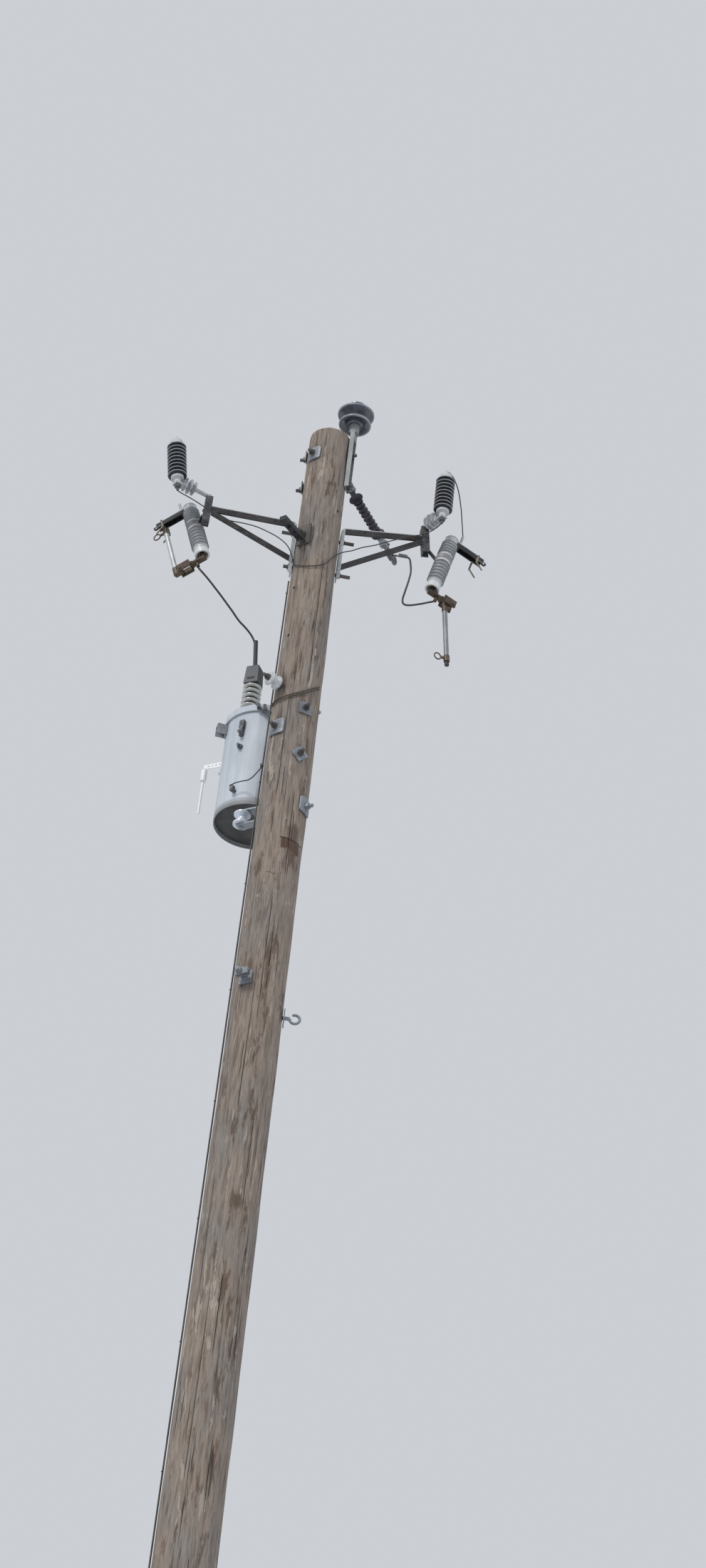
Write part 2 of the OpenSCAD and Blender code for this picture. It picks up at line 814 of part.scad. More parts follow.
module left_standoff() {
    at_left_tip() standoff_post();
    translate(left_post) rotate(left_standoff_az) standoff_rod(left_standoff_len, left_disc_at);
    translate(left_stud) rotate([0, -left_arrester_lean, 0]) standoff_plate(left_standoff_az);
}

collar_z = 10;
body_z = 20;
cap_h = 40;
cap_r = 27;
cap_stud = 14;

// Arrester: stud, pale collar, ribbed dark body, domed pale cap with its stud
module arrester() {
    pitch = arrester_h / arrester_sheds;
    low = -plate_under - 4;
    color(galvanised) {
        translate([0, 0, low - nut_t - 16]) cylinder(h = 60, d = stud_d);
        translate([0, 0, low - nut_t]) cylinder(h = nut_t, d = nut_w / cos(30), $fn = 6);
    }
    color(pale_porcelain) {
        translate([0, 0, 4 - plate_under]) cylinder(h = plate_under + collar_z - 3, d = 32);
        translate([0, 0, collar_z]) cylinder(h = body_z - collar_z, d = 58);
    }
    color(polymer_dark)
        translate([0, 0, body_z]) {
            cylinder(h = arrester_h, d = 52);
            for (i = [0 : arrester_sheds - 1])
                translate([0, 0, (i + 0.2) * pitch]) shed(arrester_d / 2, 26, pitch * 0.5);
        }
    color(pale_porcelain)
        translate([0, 0, body_z + arrester_h]) {
            cylinder(h = cap_h - 16, r = cap_r);
            translate([0, 0, cap_h - 16]) cylinder(h = 12, r1 = cap_r, r2 = cap_r - 12);
            cylinder(h = cap_h + cap_stud, d = 11);
        }
}

module right_arrester() {
    translate(right_stud) rotate([0, -right_arrester_lean, 0]) arrester();
}

module left_arrester() {
    translate(left_stud) rotate([0, -left_arrester_lean, 0]) arrester();
}

// Cutout frame: the origin at the band's middle, Z along the insulator, X out towards the fuse tube
right_band_at = polar(bracket_az, right_reach + right_band_out, right_tip_z - right_band_drop)
    + polar(bracket_az + 90, right_band_side, 0);
left_band_at = polar(bracket_az + 180, left_reach + left_band_out, left_tip_z - left_band_drop)
    + polar(bracket_az + 90, left_band_side, 0);

module at_right_cutout() {
    translate(right_band_at)
        rotate(right_face)
            rotate([0, right_lean, 0])
                children();
}

module at_left_cutout() {
    translate(left_band_at)
        rotate(left_face)
            rotate([0, left_lean, 0])
                children();
}

core_r = 26;
neck_r = core_r + 3;
band_half = 24;
upper_pitch = 17;
lower_pitch = 21;
foot_hollow = 34;
contact_h = 26;
contact_w = 34;

module cutout_insulator() {
    r = cutout_shed_d / 2;
    cap_z = arm_under + contact_h + fit;
    color(pale_porcelain)
        difference() {
            union() {
                translate([0, 0, -cutout_foot]) cylinder(h = cutout_foot + cap_z + 1, r = neck_r);
                translate([0, 0, -band_half]) cylinder(h = 2 * band_half, d = cutout_band_d);
                for (i = [0 : 4])
                    translate([0, 0, band_half + 4 + i * upper_pitch]) shed(r - i * 0.6, core_r, 11);
                for (i = [0 : 5])
                    translate([0, 0, -band_half - 17 - i * lower_pitch]) shed(r, core_r, 12);
                translate([0, 0, -cutout_foot]) cylinder(h = 28, d = cutout_band_d);
                translate([0, 0, cap_z])
                    cylinder(h = cutout_top - 8 - cap_z, d1 = 62, d2 = 58);
                translate([0, 0, cutout_top - 8])
                    cylinder(h = 8, d1 = 58, d2 = 40);
            }
            translate([0, 0, -cutout_foot - 1]) cylinder(h = foot_hollow + 1, d1 = 52, d2 = 46);
        }
}

module right_cutout_insulator() {
    at_right_cutout() cutout_insulator();
}

module left_cutout_insulator() {
    at_left_cutout() cutout_insulator();
}

terminal_top = cutout_top + 49;
horn_d = 7;

// Upper contact: a strap on the insulator's cap, a channel arm with an end ring, a latch and two side horns
module upper_contact() {
    color(steel_colour) {
        difference() {
            translate([20, -contact_w / 2, arm_under]) cube([contact_len - 20, contact_w, contact_h]);
            translate([44, -contact_w / 2 + 4, arm_under - 1]) cube([contact_len, contact_w - 8, contact_h - 3]);
            translate([0, 0, arm_under - 1]) cylinder(h = contact_h + 2, r = neck_r + fit);
        }
        translate([contact_len + 8, 3, arm_under + contact_h - 8])
            rotate([90, 0, 0])
                difference() {
                    cylinder(h = 6, d = 26);
                    translate([0, 0, -1]) cylinder(h = 8, d = 13);
                }
        for (s = [-1, 1]) {
            rod([134, s * 12, arm_under + 5], [134, s * 31, arm_under + 5], horn_d);
            rod([134, s * 31, arm_under + 10], [134, s * 31, arm_under - 34], horn_d + 2);
            rod([132, s * 31, arm_under - 29], [172, s * 31, arm_under - 58], horn_d);
        }
    }
    color(galvanised)
        translate([42, 0, arm_under + contact_h - 2]) cylinder(h = terminal_top - arm_under - contact_h + 2, d = stud_d);
}

module right_upper_contact() {
    at_right_cutout() upper_contact();
}

module left_upper_contact() {
    at_left_cutout() upper_contact();
}

pivot_z = -cutout_foot - pivot_drop;
cheek_t = 7;
cheek_gap = 34;
low_terminal_x = 32;

// Lower hinge: a stem out of the insulator's foot, a tray and two cheeks that carry the pin
module lower_hinge() {
    tray_z = -cutout_foot - 24;
    color([0.42, 0.36, 0.32])
        difference() {
            union() {
                translate([0, 0, -cutout_foot - 14]) cylinder(h = 14 + foot_hollow - fit, d = 22);
                translate([-12, -13, tray_z]) cube([pivot_out - 32, 26, 12]);
                translate([50, -18, tray_z + 0.5]) cube([pivot_out - 91, 36, 11]);
                for (s = [-1, 1])
                    translate([0, s * (cheek_gap + cheek_t) / 2, 0])
                        translate([60, -cheek_t / 2, pivot_z - 14])
                            cube([pivot_out - 46, cheek_t, 38]);
            }
            translate([pivot_out, -50, pivot_z])
                rotate([-90, 0, 0]) cylinder(h = 100, d = pivot_d + 2 * pin_fit);
        }
    color(galvanised)
        rod([low_terminal_x, 0, tray_z + 1], [low_terminal_x, 0, tray_z - 26], 16);
}

module right_lower_hinge() {
    at_right_cutout() lower_hinge();
}

module left_lower_hinge() {
    at_left_cutout() lower_hinge();
}

tube_dx = tube_offset - pivot_out;
tube_clear = 6;
tube_top = arm_under - tube_clear - pivot_z;
ring_out = 46;
ring_down = 35;
ring_r = 16;

// Fuse tube in its closed place: the origin on the hinge pin
module fuse_tube() {
    color([0.60, 0.60, 0.60])
        translate([tube_dx, 0, 30]) cylinder(h = tube_top - 76, d = tube_d);
    color([0.45, 0.32, 0.25]) {
        rotate([90, 0, 0])
            translate([0, 0, -cheek_gap / 2 - cheek_t - 4])
                cylinder(h = cheek_gap + 2 * cheek_t + 8, d = pivot_d);
        translate([0, -12, -9]) cube([tube_dx + 8, 24, 22]);
        translate([tube_dx, 0, -4]) cylinder(h = 40, d = tube_d + 5);
        translate([tube_dx, 0, tube_top - 50]) cylinder(h = 30, d = tube_d + 5);
        translate([tube_dx + 12, -4, tube_top - ring_down - 5]) cube([ring_out - ring_r - 12, 8, 10]);
        translate([tube_dx + ring_out, 0, tube_top - ring_down])
            rotate([90, 0, 0])
                rotate_extrude($fn = 36)
                    translate([ring_r, 0]) circle(d = 6, $fn = 16);
    }
    color([0.15, 0.15, 0.16])
        translate([tube_dx, 0, tube_top - 20]) cylinder(h = 20, d = 20);
}

module right_fuse_tube() {
    at_right_cutout()
        translate([pivot_out, 0, pivot_z])
            rotate([0, open_angle, 0])
                fuse_tube();
}

module left_fuse_tube() {
    at_left_cutout()
        translate([pivot_out, 0, pivot_z])
            fuse_tube();
}

mount_w = 20;
mount_t = 10;
boss_len = 12;
mount_level = 18;
right_foot_up = 22;
left_foot_out = 4;
left_foot_up = 74;

// Mount arm: a bent flat bar, from a point near the end channel to a clamp ring round the insulator's band
module mount_arm(foot, band, face, lean) {
    hold = cutout_band_d / 2 + fit + 3;
    v = band - foot;
    flat = norm([v[0], v[1]]) - hold;
    translate(foot)
        rotate(atan2(v[1], v[0]))
            translate([0, mount_w / 2, 0])
                rotate([90, 0, 0])
                    linear_extrude(mount_w)
                        polygon([
                            [0, -mount_t / 2], [mount_level, -mount_t / 2], [flat, v[2] - mount_t / 2],
                            [flat, v[2] + mount_t / 2], [mount_level, mount_t / 2], [0, mount_t / 2]
                        ]);
    translate(band)
        rotate(face)
            rotate([0, lean, 0])
                difference() {
                    translate([0, 0, -12]) cylinder(h = 24, d = cutout_band_d + 2 * fit + 10);
                    translate([0, 0, -13]) cylinder(h = 26, d = cutout_band_d + 2 * fit);
                }
}

right_foot = off_tip(right_tip, bracket_az, right_rise, bracket_t - channel_d / 2 + boss_len - 4, 0,
                     channel_up - channel_h + right_foot_up);
left_foot = off_tip(left_tip, bracket_az + 180, left_rise, left_foot_out, -channel_w / 2 - boss_len + 4,
                    channel_up - channel_h + left_foot_up);

module right_mount_arm() {
    color(steel_colour) {
        at_right_tip()
            translate([bracket_t - channel_d / 2, 0, channel_up - channel_h + right_foot_up])
                rotate([0, 90, 0]) cylinder(h = boss_len, d = 16);
        mount_arm(right_foot, right_band_at, right_face, right_lean);
    }
}

module left_mount_arm() {
    color(galvanised) {
        at_left_tip()
            translate([left_foot_out, -channel_w / 2, channel_up - channel_h + left_foot_up])
                rotate([90, 0, 0]) cylinder(h = boss_len, d = 16);
        mount_arm(left_foot, left_band_at, left_face, left_lean);
    }
}

tank_dist = pole_r(hanger_lo_z) + hanger_gap + tank_d / 2;
tank_r = tank_d / 2;
bushing_bore = 40;

module at_tank() {
    rotate(tank_az)
        translate([tank_dist, 0, tank_z])
            children();
}

// Tank: an open wall, with its bottom set up inside the lower rim
module tank() {
    color(tank_paint)
        at_tank()
            difference() {
                cylinder(h = tank_h, d = tank_d, $fn = 96);
                translate([0, 0, -1])
                    cylinder(h = tank_h + 2, d = tank_d - 2 * tank_wall, $fn = 96);
            }
}

module tank_bottom() {
    color(tank_paint)
        at_tank()
            translate([0, 0, tank_recess])
                cylinder(h = tank_wall, d = tank_d - 2 * (tank_wall + fit), $fn = 96);
}

module lid() {
    color(tank_paint)
        at_tank()
            translate([0, 0, tank_h])
                difference() {
                    union() {
                        rotate_extrude($fn = 96)
                            polygon([
                                [0, 2], [tank_r - 4, 2], [tank_r - 4, 0], [tank_r + 8, 0], [tank_r + 8, 8],
                                [tank_r - 12, 16], [0, 34]
                            ]);
                        translate([bushing_x, bushing_y, 4]) cylinder(h = 26, d = 2 * bushing_bore);
                    }
                    translate([bushing_x, bushing_y, -10]) cylinder(h = 60, d = bushing_bore);
                }
}

band_h = 26;
band_t = 9;

module lid_band() {
    color(tank_paint)
        at_tank()
            translate([0, 0, tank_h - band_h])
                difference() {
                    cylinder(h = band_h, r = tank_r + band_t, $fn = 96);
                    translate([0, 0, -1]) cylinder(h = band_h + 2, r = tank_r + fit, $fn = 96);
                }
}

module hv_bushing() {
    color(pale_porcelain)
        at_tank()
            translate([bushing_x, bushing_y, tank_h]) {
                translate([0, 0, -20]) cylinder(h = 60, d = bushing_bore - 2 * fit);
                translate([0, 0, 30]) cylinder(h = 26, d = 74);
                translate([0, 0, 50]) cylinder(h = bushing_h - 20, d = 48);
                for (i = [0 : 4])
                    translate([0, 0, 62 + i * 27]) shed(42, 24, 17);
            }
}

guard_h = 94;
guard_turn = -70;
sleeve_h = 162;
sleeve_lean = 5;

module bushing_guard() {
    color([0.30, 0.32, 0.34])
        at_tank()
            translate([bushing_x, bushing_y, tank_h + bushing_h + 30 + fit]) {
                rotate(guard_turn - tank_az)
                    cylinder(h = guard_h, d1 = 92, d2 = 80, $fn = 4);
                rotate(180 - tank_az)
                    translate([0, 0, guard_h - 4])
                        rotate([0, sleeve_lean, 0]) cylinder(h = sleeve_h, d = 19);
            }
}

hanger_w = 76;
hanger_h = 56;
hanger_t = 8;

module tank_hangers() {
    back = tank_r + hanger_gap;
    color(tank_paint)
        at_tank()
            for (z = [hanger_hi_z - tank_z, hanger_lo_z - tank_z])
                difference() {
                    translate([1 - back, -hanger_w / 2, z - hanger_h / 2]) cube([hanger_gap + 6, hanger_w, hanger_h]);
                    translate([1 - back + hanger_t, hanger_t - hanger_w / 2, z - hanger_h])
                        cube([hanger_gap, hanger_w - 2 * hanger_t, 2 * hanger_h]);
                    cylinder(h = tank_h, d = tank_d + 2 * fit, $fn = 96);
                    translate([-back - 10, 0, z])
                        rotate([0, 90, 0]) cylinder(h = 30, d = bolt_d + 2 * fit);
                }
}

module hanger_bolts() {
    inner = tank_dist - tank_r - hanger_gap + 1 + hanger_t;
    color(galvanised)
        for (z = [hanger_hi_z, hanger_lo_z])
            on_pole(tank_az, z) {
                back = pole_r(z) + fit + washer_t;
                rotate([0, 90, 0])
                    translate([0, 0, -back - nut_t - bolt_tail])
                        cylinder(h = inner + nut_t + 8 + back + nut_t + bolt_tail, d = bolt_d);
                nut(inner);
                square_washer(-pole_r(z) - fit, -1, z == hanger_lo_z ? 45 : 0);
                nut(-back, -1);
            }
}

lug_out = 45;
lug_w = 36;
lug_h = 50;

// Lifting lugs: two hooks, open below, one on each side of the tank
module lifting_lugs() {
    low = tank_h - 85;
    color(tank_paint)
        at_tank()
            for (a = [lug_az, lug_az + 180])
                rotate(a)
                    difference() {
                        translate([tank_r + fit, -lug_w / 2, low]) cube([lug_out, lug_w, lug_h]);
                        translate([tank_r + 8, 5 - lug_w / 2, low - 10]) cube([lug_out, lug_w - 10, lug_h]);
                        translate([tank_r + 28, 0, low]) cylinder(h = 2 * lug_h, d = 16);
                    }
}

front_lug_z = 405;
front_bolt_z = 308;
terminal_z = 71;
latch_az = 151.5;

// Small fittings on the tank: a front lug with its socket, a bolt, the ground terminal and the lid band's latch
module tank_fittings() {
    out = tank_r + fit;
    at_tank() {
        rotate(fitting_az) {
            color(tank_paint) {
                translate([out, -11, front_lug_z]) cube([18, 22, 40]);
                translate([out + 10, 0, front_lug_z - 40]) cylinder(h = 44, d = 20);
            }
            color(steel_colour) {
                translate([out, 0, front_lug_z - 30]) rotate([0, 90, 0]) cylinder(h = 34, d = 14);
                translate([out, 0, front_bolt_z]) rotate([0, 90, 0]) cylinder(h = 26, d = 13);
                translate([out, 0, front_bolt_z]) rotate([0, 90, 0]) cylinder(h = 12, d = 24, $fn = 6);
                translate([out, 0, terminal_z]) rotate([0, 90, 0]) cylinder(h = 20, d = 18);
                translate([out + 10, -9, terminal_z - 8]) cube([18, 18, 22]);
            }
        }
        color(steel_colour)
            rotate(latch_az)
                translate([tank_r + band_t + fit, 0, tank_h - band_h]) {
                    translate([0, -24, 3]) cube([20, 12, band_h - 6]);
                    translate([0, 2, -14]) cube([20, 12, band_h + 8]);
                    rod([12, -32, 26], [12, 32, -38], 10);
                }
    }
}

strap_az = 38.5;
strap_z = 366;
strap_w = 24;
strap_len = 110;
strap_t = 4;
barrel_h = 56;
barrel_z = 302;
rod_foot = 126;

// Perforated strap on the tank's side, with a rod and a barrel hung from its end
module side_strap() {
    color(galvanised)
        at_tank()
            rotate(strap_az) {
                difference() {
                    translate([tank_r + fit, -strap_t / 2, strap_z]) cube([strap_len, strap_t, strap_w]);
                    for (i = [0 : 4])
                        translate([tank_r + 14 + i * 18, 10, strap_z + strap_w / 2])
                            rotate([90, 0, 0]) cylinder(h = 20, d = 9);
                }
                translate([tank_r + strap_len - 4, 0, rod_foot]) cylinder(h = strap_z + 8 - rod_foot, d = 11);
                translate([tank_r + strap_len - 4, 0, barrel_z]) cylinder(h = barrel_h, d = 26);
            }
}

module lv_bushings() {
    color(pale_porcelain)
        at_tank()
            for (a = [-26, 0, 26])
                rotate(a)
                    translate([tank_r + fit, 0, tank_h - 150])
                        rotate([0, 90, 0]) {
                            cylinder(h = 12, d = 50);
                            cylinder(h = 46, d = 36);
                            cylinder(h = 66, d = 14);
                        }
}

module spool(d, h) {
    r = d / 2;
    difference() {
        rotate_extrude($fn = 60)
            polygon([[0, 0], [r - 4, 0], [r, 4], [r, 10], [r - 16, h / 2 - 4], [r - 16, h / 2 + 4], [r, h - 10], [r, h - 4],
                     [r - 4, h], [0, h]]);
        translate([0, 0, -1]) cylinder(h = h + 2, d = bolt_d + 2 * fit);
    }
}

neutral_seat = pole_r(neutral_z) + fit + nut_t;
neutral_len = 54;
neutral_d = 64;

module neutral_spool() {
    color(pale_porcelain)
        on_pole(neutral_az, neutral_z)
            translate([neutral_seat, 0, 0])
                rotate([0, 90, 0]) spool(neutral_d, neutral_len);
}

module neutral_bolt() {
    r = pole_r(neutral_z);
    color(galvanised)
        on_pole(neutral_az, neutral_z) {
            through_bolt(neutral_seat + neutral_len + nut_t, r + washer_t + nut_t);
            nut(neutral_seat + neutral_len);
            nut(r + fit);
            square_washer(-r - fit, -1);
            nut(-r - fit - washer_t, -1);
        }
}

service_d = 72;
service_h = 62;
clevis_t = 5;
clevis_pin = bolt_d - 1;

module service_spool() {
    color(pale_porcelain)
        on_pole(service_az, service_z)
            translate([spool_out, 0, -service_h / 2]) spool(service_d, service_h);
}

module service_clevis() {
    r = pole_r(service_z) + fit;
    high = service_h + 2 * fit;
    color(galvanised) {
        on_pole(service_az, service_z) {
            difference() {
                union() {
                    translate([r, -20, -high / 2 - clevis_t - 2]) cube([spool_out - r + 14, 40, high + 2 * clevis_t + 4]);
                    translate([spool_out, 0, -high / 2 - 12]) cylinder(h = high + 24, d = clevis_pin);
                }
                difference() {
                    translate([r + clevis_t, -30, -high / 2]) cube([200, 60, high]);
                    translate([spool_out, 0, -high]) cylinder(h = 2 * high, d = clevis_pin);
                }
                rotate([0, 90, 0]) cylinder(h = r + 10, d = bolt_d + 2 * fit);
            }
            rotate([0, 90, 0])
                translate([0, 0, -r - curved_t - nut_t - bolt_tail])
                    cylinder(h = 2 * r + curved_t + nut_t + bolt_tail + clevis_t + nut_t + 2, d = bolt_d);
            nut(r + clevis_t);
            nut(-r - curved_t, -1);
        }
        curved_washer(service_az + 180, service_z, plate_w);
    }
}

module ribbed_plate_bolt() {
    r = pole_r(plate_z) + fit;
    color(galvanised) {
        curved_washer(plate_az, plate_z, plate_w);
        on_pole(plate_az, plate_z) {
            through_bolt(r + curved_t + nut_t, r + washer_t + nut_t);
            nut(r + curved_t);
            square_washer(-r, -1);
            nut(-r - washer_t, -1);
        }
    }
}

// The low cable clamp and the low cable hook, each on a screw in the pole
module cable_clamps() {
    rc = pole_r(clamp_z) + fit;
    rh = pole_r(hook_z) + fit;
    color(galvanised) {
        on_pole(clamp_az, clamp_z) {
            rod([rc - screw_deep + 5, 0, 0], [rc + 74, 0, 0], bolt_d);
            square_washer(rc);
            nut(rc + washer_t);
            translate([rc + 30, -22, -14]) cube([9, 60, 28]);
            translate([rc + 45, -22, -14]) cube([9, 60, 28]);
            nut(rc + 54);
        }
        on_pole(hook_az, hook_z) {
            rod([rh - screw_deep + 5, 0, 0], [rh + 26, 0, 0], bolt_d);
            square_washer(rh);
            translate([rh + 26 + 20, 0, 0])
                rotate([90, 0, 0])
                    rotate_extrude(angle = 300, start = 180, $fn = 40)
                        translate([20, 0]) circle(d = 11, $fn = 16);
        }
    }
}

wire_gap = 0.4;
ground_az = 180;
ground_top = 10770;
ground_foot = 30;
joint_z = 9748;

function unit(v) = v / norm(v);
function on_bark(az, z, d) = polar(az, pole_r(z) + d / 2 + wire_gap, z);

// A point on the smooth curve through the route's points, t of the way from point k to the next
function curve(p, k, t) =
    let (a = p[max(k - 1, 0)], b = p[k], c = p[k + 1], d = p[min(k + 2, len(p) - 1)])
        (2 * b + (c - a) * t + (2 * a - 5 * b + 4 * c - d) * t * t + (3 * b - a - 3 * c + d) * t * t * t) / 2;
function smooth(p, steps) =
    [for (k = [0 : len(p) - 2]) for (i = [0 : steps - 1]) curve(p, k, i / steps), p[len(p) - 1]];
function heading(r, i) = unit(r[min(i + 1, len(r) - 1)] - r[max(i - 1, 0)]);
function across(r, i, u) = unit(u - (u * heading(r, i)) * heading(r, i));
function frames(r, i, u) = i == len(r) ? [] : concat([across(r, i, u)], frames(r, i + 1, across(r, i, u)));

// A round tube swept along a route
module lead(points, d, steps = 2, sides = 8) {
    r = smooth(points, steps);
    f = frames(r, 0, abs(heading(r, 0)[2]) < 0.9 ? [0, 0, 1] : [1, 0, 0]);
    n = len(r);
    rim = [for (i = [0 : n - 1]) for (k = [0 : sides - 1])
        r[i] + d / 2 * (cos(360 * k / sides) * f[i] + sin(360 * k / sides) * cross(heading(r, i), f[i]))];
    walls = [for (i = [0 : n - 2]) for (k = [0 : sides - 1])
        let (a = i * sides + k, b = i * sides + (k + 1) % sides)
            each [[a, a + sides, b + sides], [a, b + sides, b]]];
    ends = [[for (k = [0 : sides - 1]) k], [for (k = [0 : sides - 1]) n * sides - 1 - k]];
    color(wire_colour) polyhedron(points = rim, faces = concat(walls, ends));
}

// The wire stapled down the pole, and the two bond wires round its front
module ground_wire() {
    color(wire_colour) {
        rod(on_bark(ground_az, ground_top, ground_d), on_bark(ground_az, ground_foot, ground_d), ground_d);
        translate(on_bark(ground_az, joint_z, ground_d))
            rotate([90, 0, 0])
                translate([-3, 0, -8]) cylinder(h = 16, d = 14);
    }
    for (drop = [0, 12])
        lead([for (s = bond_route) on_bark(s[0], s[1] - drop, bare_d)], bare_d, 3);
}

bond_route = [
    [330, 10162], [320, 10148], [309, 10131], [297, 10112], [285, 10095], [273, 10081], [261, 10071],
    [249, 10064], [237, 10060], [225, 10058], [213, 10058], [201, 10059], [190, 10061]
];

hv_route = [
    [-504, 27, 10803], [-491, 32, 10792], [-474, 48, 10786], [-457, 64, 10779], [-437, 80, 10767], [-417, 96, 10754],
    [-397, 114, 10743], [-376, 133, 10730], [-353, 152, 10714], [-330, 170, 10697], [-312, 187, 10684],
    [-294, 204, 10674], [-276, 219, 10668], [-260, 231, 10660], [-246, 239, 10649], [-235, 244, 10637],
    [-226, 247, 10623], [-219, 248, 10608]
];

module hv_lead() {
    lead(hv_route, lead_d);
}

tap_route = [
    [418, 507, 11441], [430, 501, 11429], [436, 487, 11404], [438, 470, 11375], [440, 450, 11341], [441, 427, 11307],
    [441, 400, 11271], [440, 369, 11231], [438, 334, 11186], [434, 298, 11137], [430, 260, 11084], [425, 229, 11035],
    [420, 201, 10988], [415, 173, 10941], [410, 147, 10896], [407, 123, 10856], [408, 102, 10821], [415, 85, 10797],
    [429, 71, 10783], [449, 60, 10778], [471, 51, 10778], [493, 43, 10780], [515, 35, 10783], [538, 27, 10786]
];

module tap_jumper() {
    lead(tap_route, lead_d);
}

right_cap_route = [
    [538, -68, 11468], [546, -68, 11470], [555, -66, 11465], [564, -62, 11456], [574, -58, 11443], [583, -52, 11427],
    [592, -45, 11409], [599, -38, 11392], [606, -29, 11371], [612, -20, 11350], [617, -11, 11331], [622, -1, 11311],
    [627, 12, 11287], [632, 26, 11265], [637, 40, 11248], [640, 54, 11236], [643, 64, 11228], [644, 72, 11220]
];

module right_arrester_lead() {
    lead(right_cap_route, bare_d);
}

right_ground_route = [
    [536, -66, 11168], [530, -52, 11167], [522, -37, 11166], [511, -24, 11164], [498, -12, 11160], [482, -4, 11155],
    [465, 0, 11147], [448, 2, 11139], [421, 1, 11128], [393, 0, 11115], [360, 0, 11100], [328, 0, 11083],
    [290, 0, 11063], [255, 0, 11043], [228, -1, 11031], [202, -2, 11019], [178, -5, 11003], [157, -10, 10985],
    [138, -17, 10972], [121, -24, 10958], [106, -33, 10942], [94, -44, 10922], [83, -59, 10898], [71, -73, 10870],
    [59, -84, 10843], [45, -92, 10819], [26, -99, 10802], [5, -102, 10792], [-16, -101, 10788], [-36, -96, 10789],
    [-54, -87, 10794], [-70, -75, 10803], [-83, -60, 10816], [-92, -45, 10832]
];

module right_ground_lead() {
    lead(right_ground_route, bare_d);
}

left_ground_route = [
    [-642, -112, 11113], [-630, -107, 11108], [-612, -103, 11102], [-588, -98, 11094], [-560, -92, 11083],
    [-532, -86, 11071], [-504, -80, 11058], [-476, -76, 11044], [-448, -74, 11030], [-420, -73, 11018],
    [-392, -72, 11012], [-357, -69, 11012], [-321, -65, 11012], [-288, -62, 11009], [-258, -60, 11002],
    [-224, -62, 10986], [-185, -69, 10961], [-156, -76, 10935], [-132, -79, 10909], [-112, -74, 10880],
    [-101, -62, 10855], [-95, -48, 10838]
];

module left_ground_lead() {
    lead(left_ground_route, bare_d);
}

tank_ground_route = [
    [-236, 121, 9712], [-228, 118, 9717], [-219, 115, 9722], [-209, 111, 9726], [-198, 106, 9728], [-187, 99, 9728],
    [-176, 91, 9726], [-166, 82, 9723], [-156, 72, 9722], [-147, 61, 9723], [-138, 49, 9727], [-130, 37, 9732],
    [-122, 26, 9738], [-115, 16, 9744], [-110, 7, 9748]
];

module tank_ground_lead() {
    lead(tank_ground_route, bare_d, 3);
}

wood_pole();
ridge_pin();
pin_insulator();
ridge_bolts();
deadend_eye_bolt();
deadend_insulator();
deadend_clamp();
guy_plate();
guy_clamp();
bracket_bolts();
right_bracket();
left_bracket();
right_end_channel();
left_end_channel();
right_standoff();
left_standoff();
right_arrester();
left_arrester();
right_cutout_insulator();
left_cutout_insulator();
right_mount_arm();
left_mount_arm();
right_upper_contact();
left_upper_contact();
right_lower_hinge();
left_lower_hinge();
right_fuse_tube();
left_fuse_tube();
tank();
tank_bottom();
lid();
lid_band();
hv_bushing();
bushing_guard();
tank_hangers();
hanger_bolts();
lifting_lugs();
tank_fittings();
side_strap();
lv_bushings();
neutral_spool();
neutral_bolt();
service_spool();
service_clevis();
ribbed_plate_bolt();
cable_clamps();
ground_wire();
tap_jumper();
right_arrester_lead();
right_ground_lead();
left_ground_lead();
hv_lead();
tank_ground_lead();
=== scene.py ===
"""Looks of a wooden pole with its side-hung transformer, fused cutouts, arresters and insulators."""
import json
import math

import bpy
import numpy as np
from mathutils import Matrix, Vector


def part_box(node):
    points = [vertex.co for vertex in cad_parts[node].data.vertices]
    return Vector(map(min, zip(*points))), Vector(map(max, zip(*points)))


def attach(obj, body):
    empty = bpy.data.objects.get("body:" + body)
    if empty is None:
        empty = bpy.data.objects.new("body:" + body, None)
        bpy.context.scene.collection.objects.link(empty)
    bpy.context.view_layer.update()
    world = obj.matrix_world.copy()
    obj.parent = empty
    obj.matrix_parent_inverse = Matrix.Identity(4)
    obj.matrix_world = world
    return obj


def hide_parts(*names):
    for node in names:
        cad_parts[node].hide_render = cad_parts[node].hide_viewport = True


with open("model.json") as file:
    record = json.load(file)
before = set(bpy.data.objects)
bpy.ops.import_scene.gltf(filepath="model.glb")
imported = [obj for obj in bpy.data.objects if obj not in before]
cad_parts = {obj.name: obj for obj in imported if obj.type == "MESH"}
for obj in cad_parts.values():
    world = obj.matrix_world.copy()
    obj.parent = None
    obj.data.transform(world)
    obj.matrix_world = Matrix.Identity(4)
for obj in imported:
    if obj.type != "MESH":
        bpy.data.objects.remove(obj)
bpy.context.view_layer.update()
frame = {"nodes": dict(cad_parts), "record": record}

nodes = frame["nodes"]

CAMERA_AT = Vector((0.0, -10.8, 1.6))
CAMERA_YAW = math.radians(1.476)
CAMERA_PITCH = math.radians(36.910)
CAMERA_ROLL = math.radians(6.524)
FOCAL_PIXELS = 4528.8
PICTURE_LONG_SIDE = 2200
SENSOR = 36.0


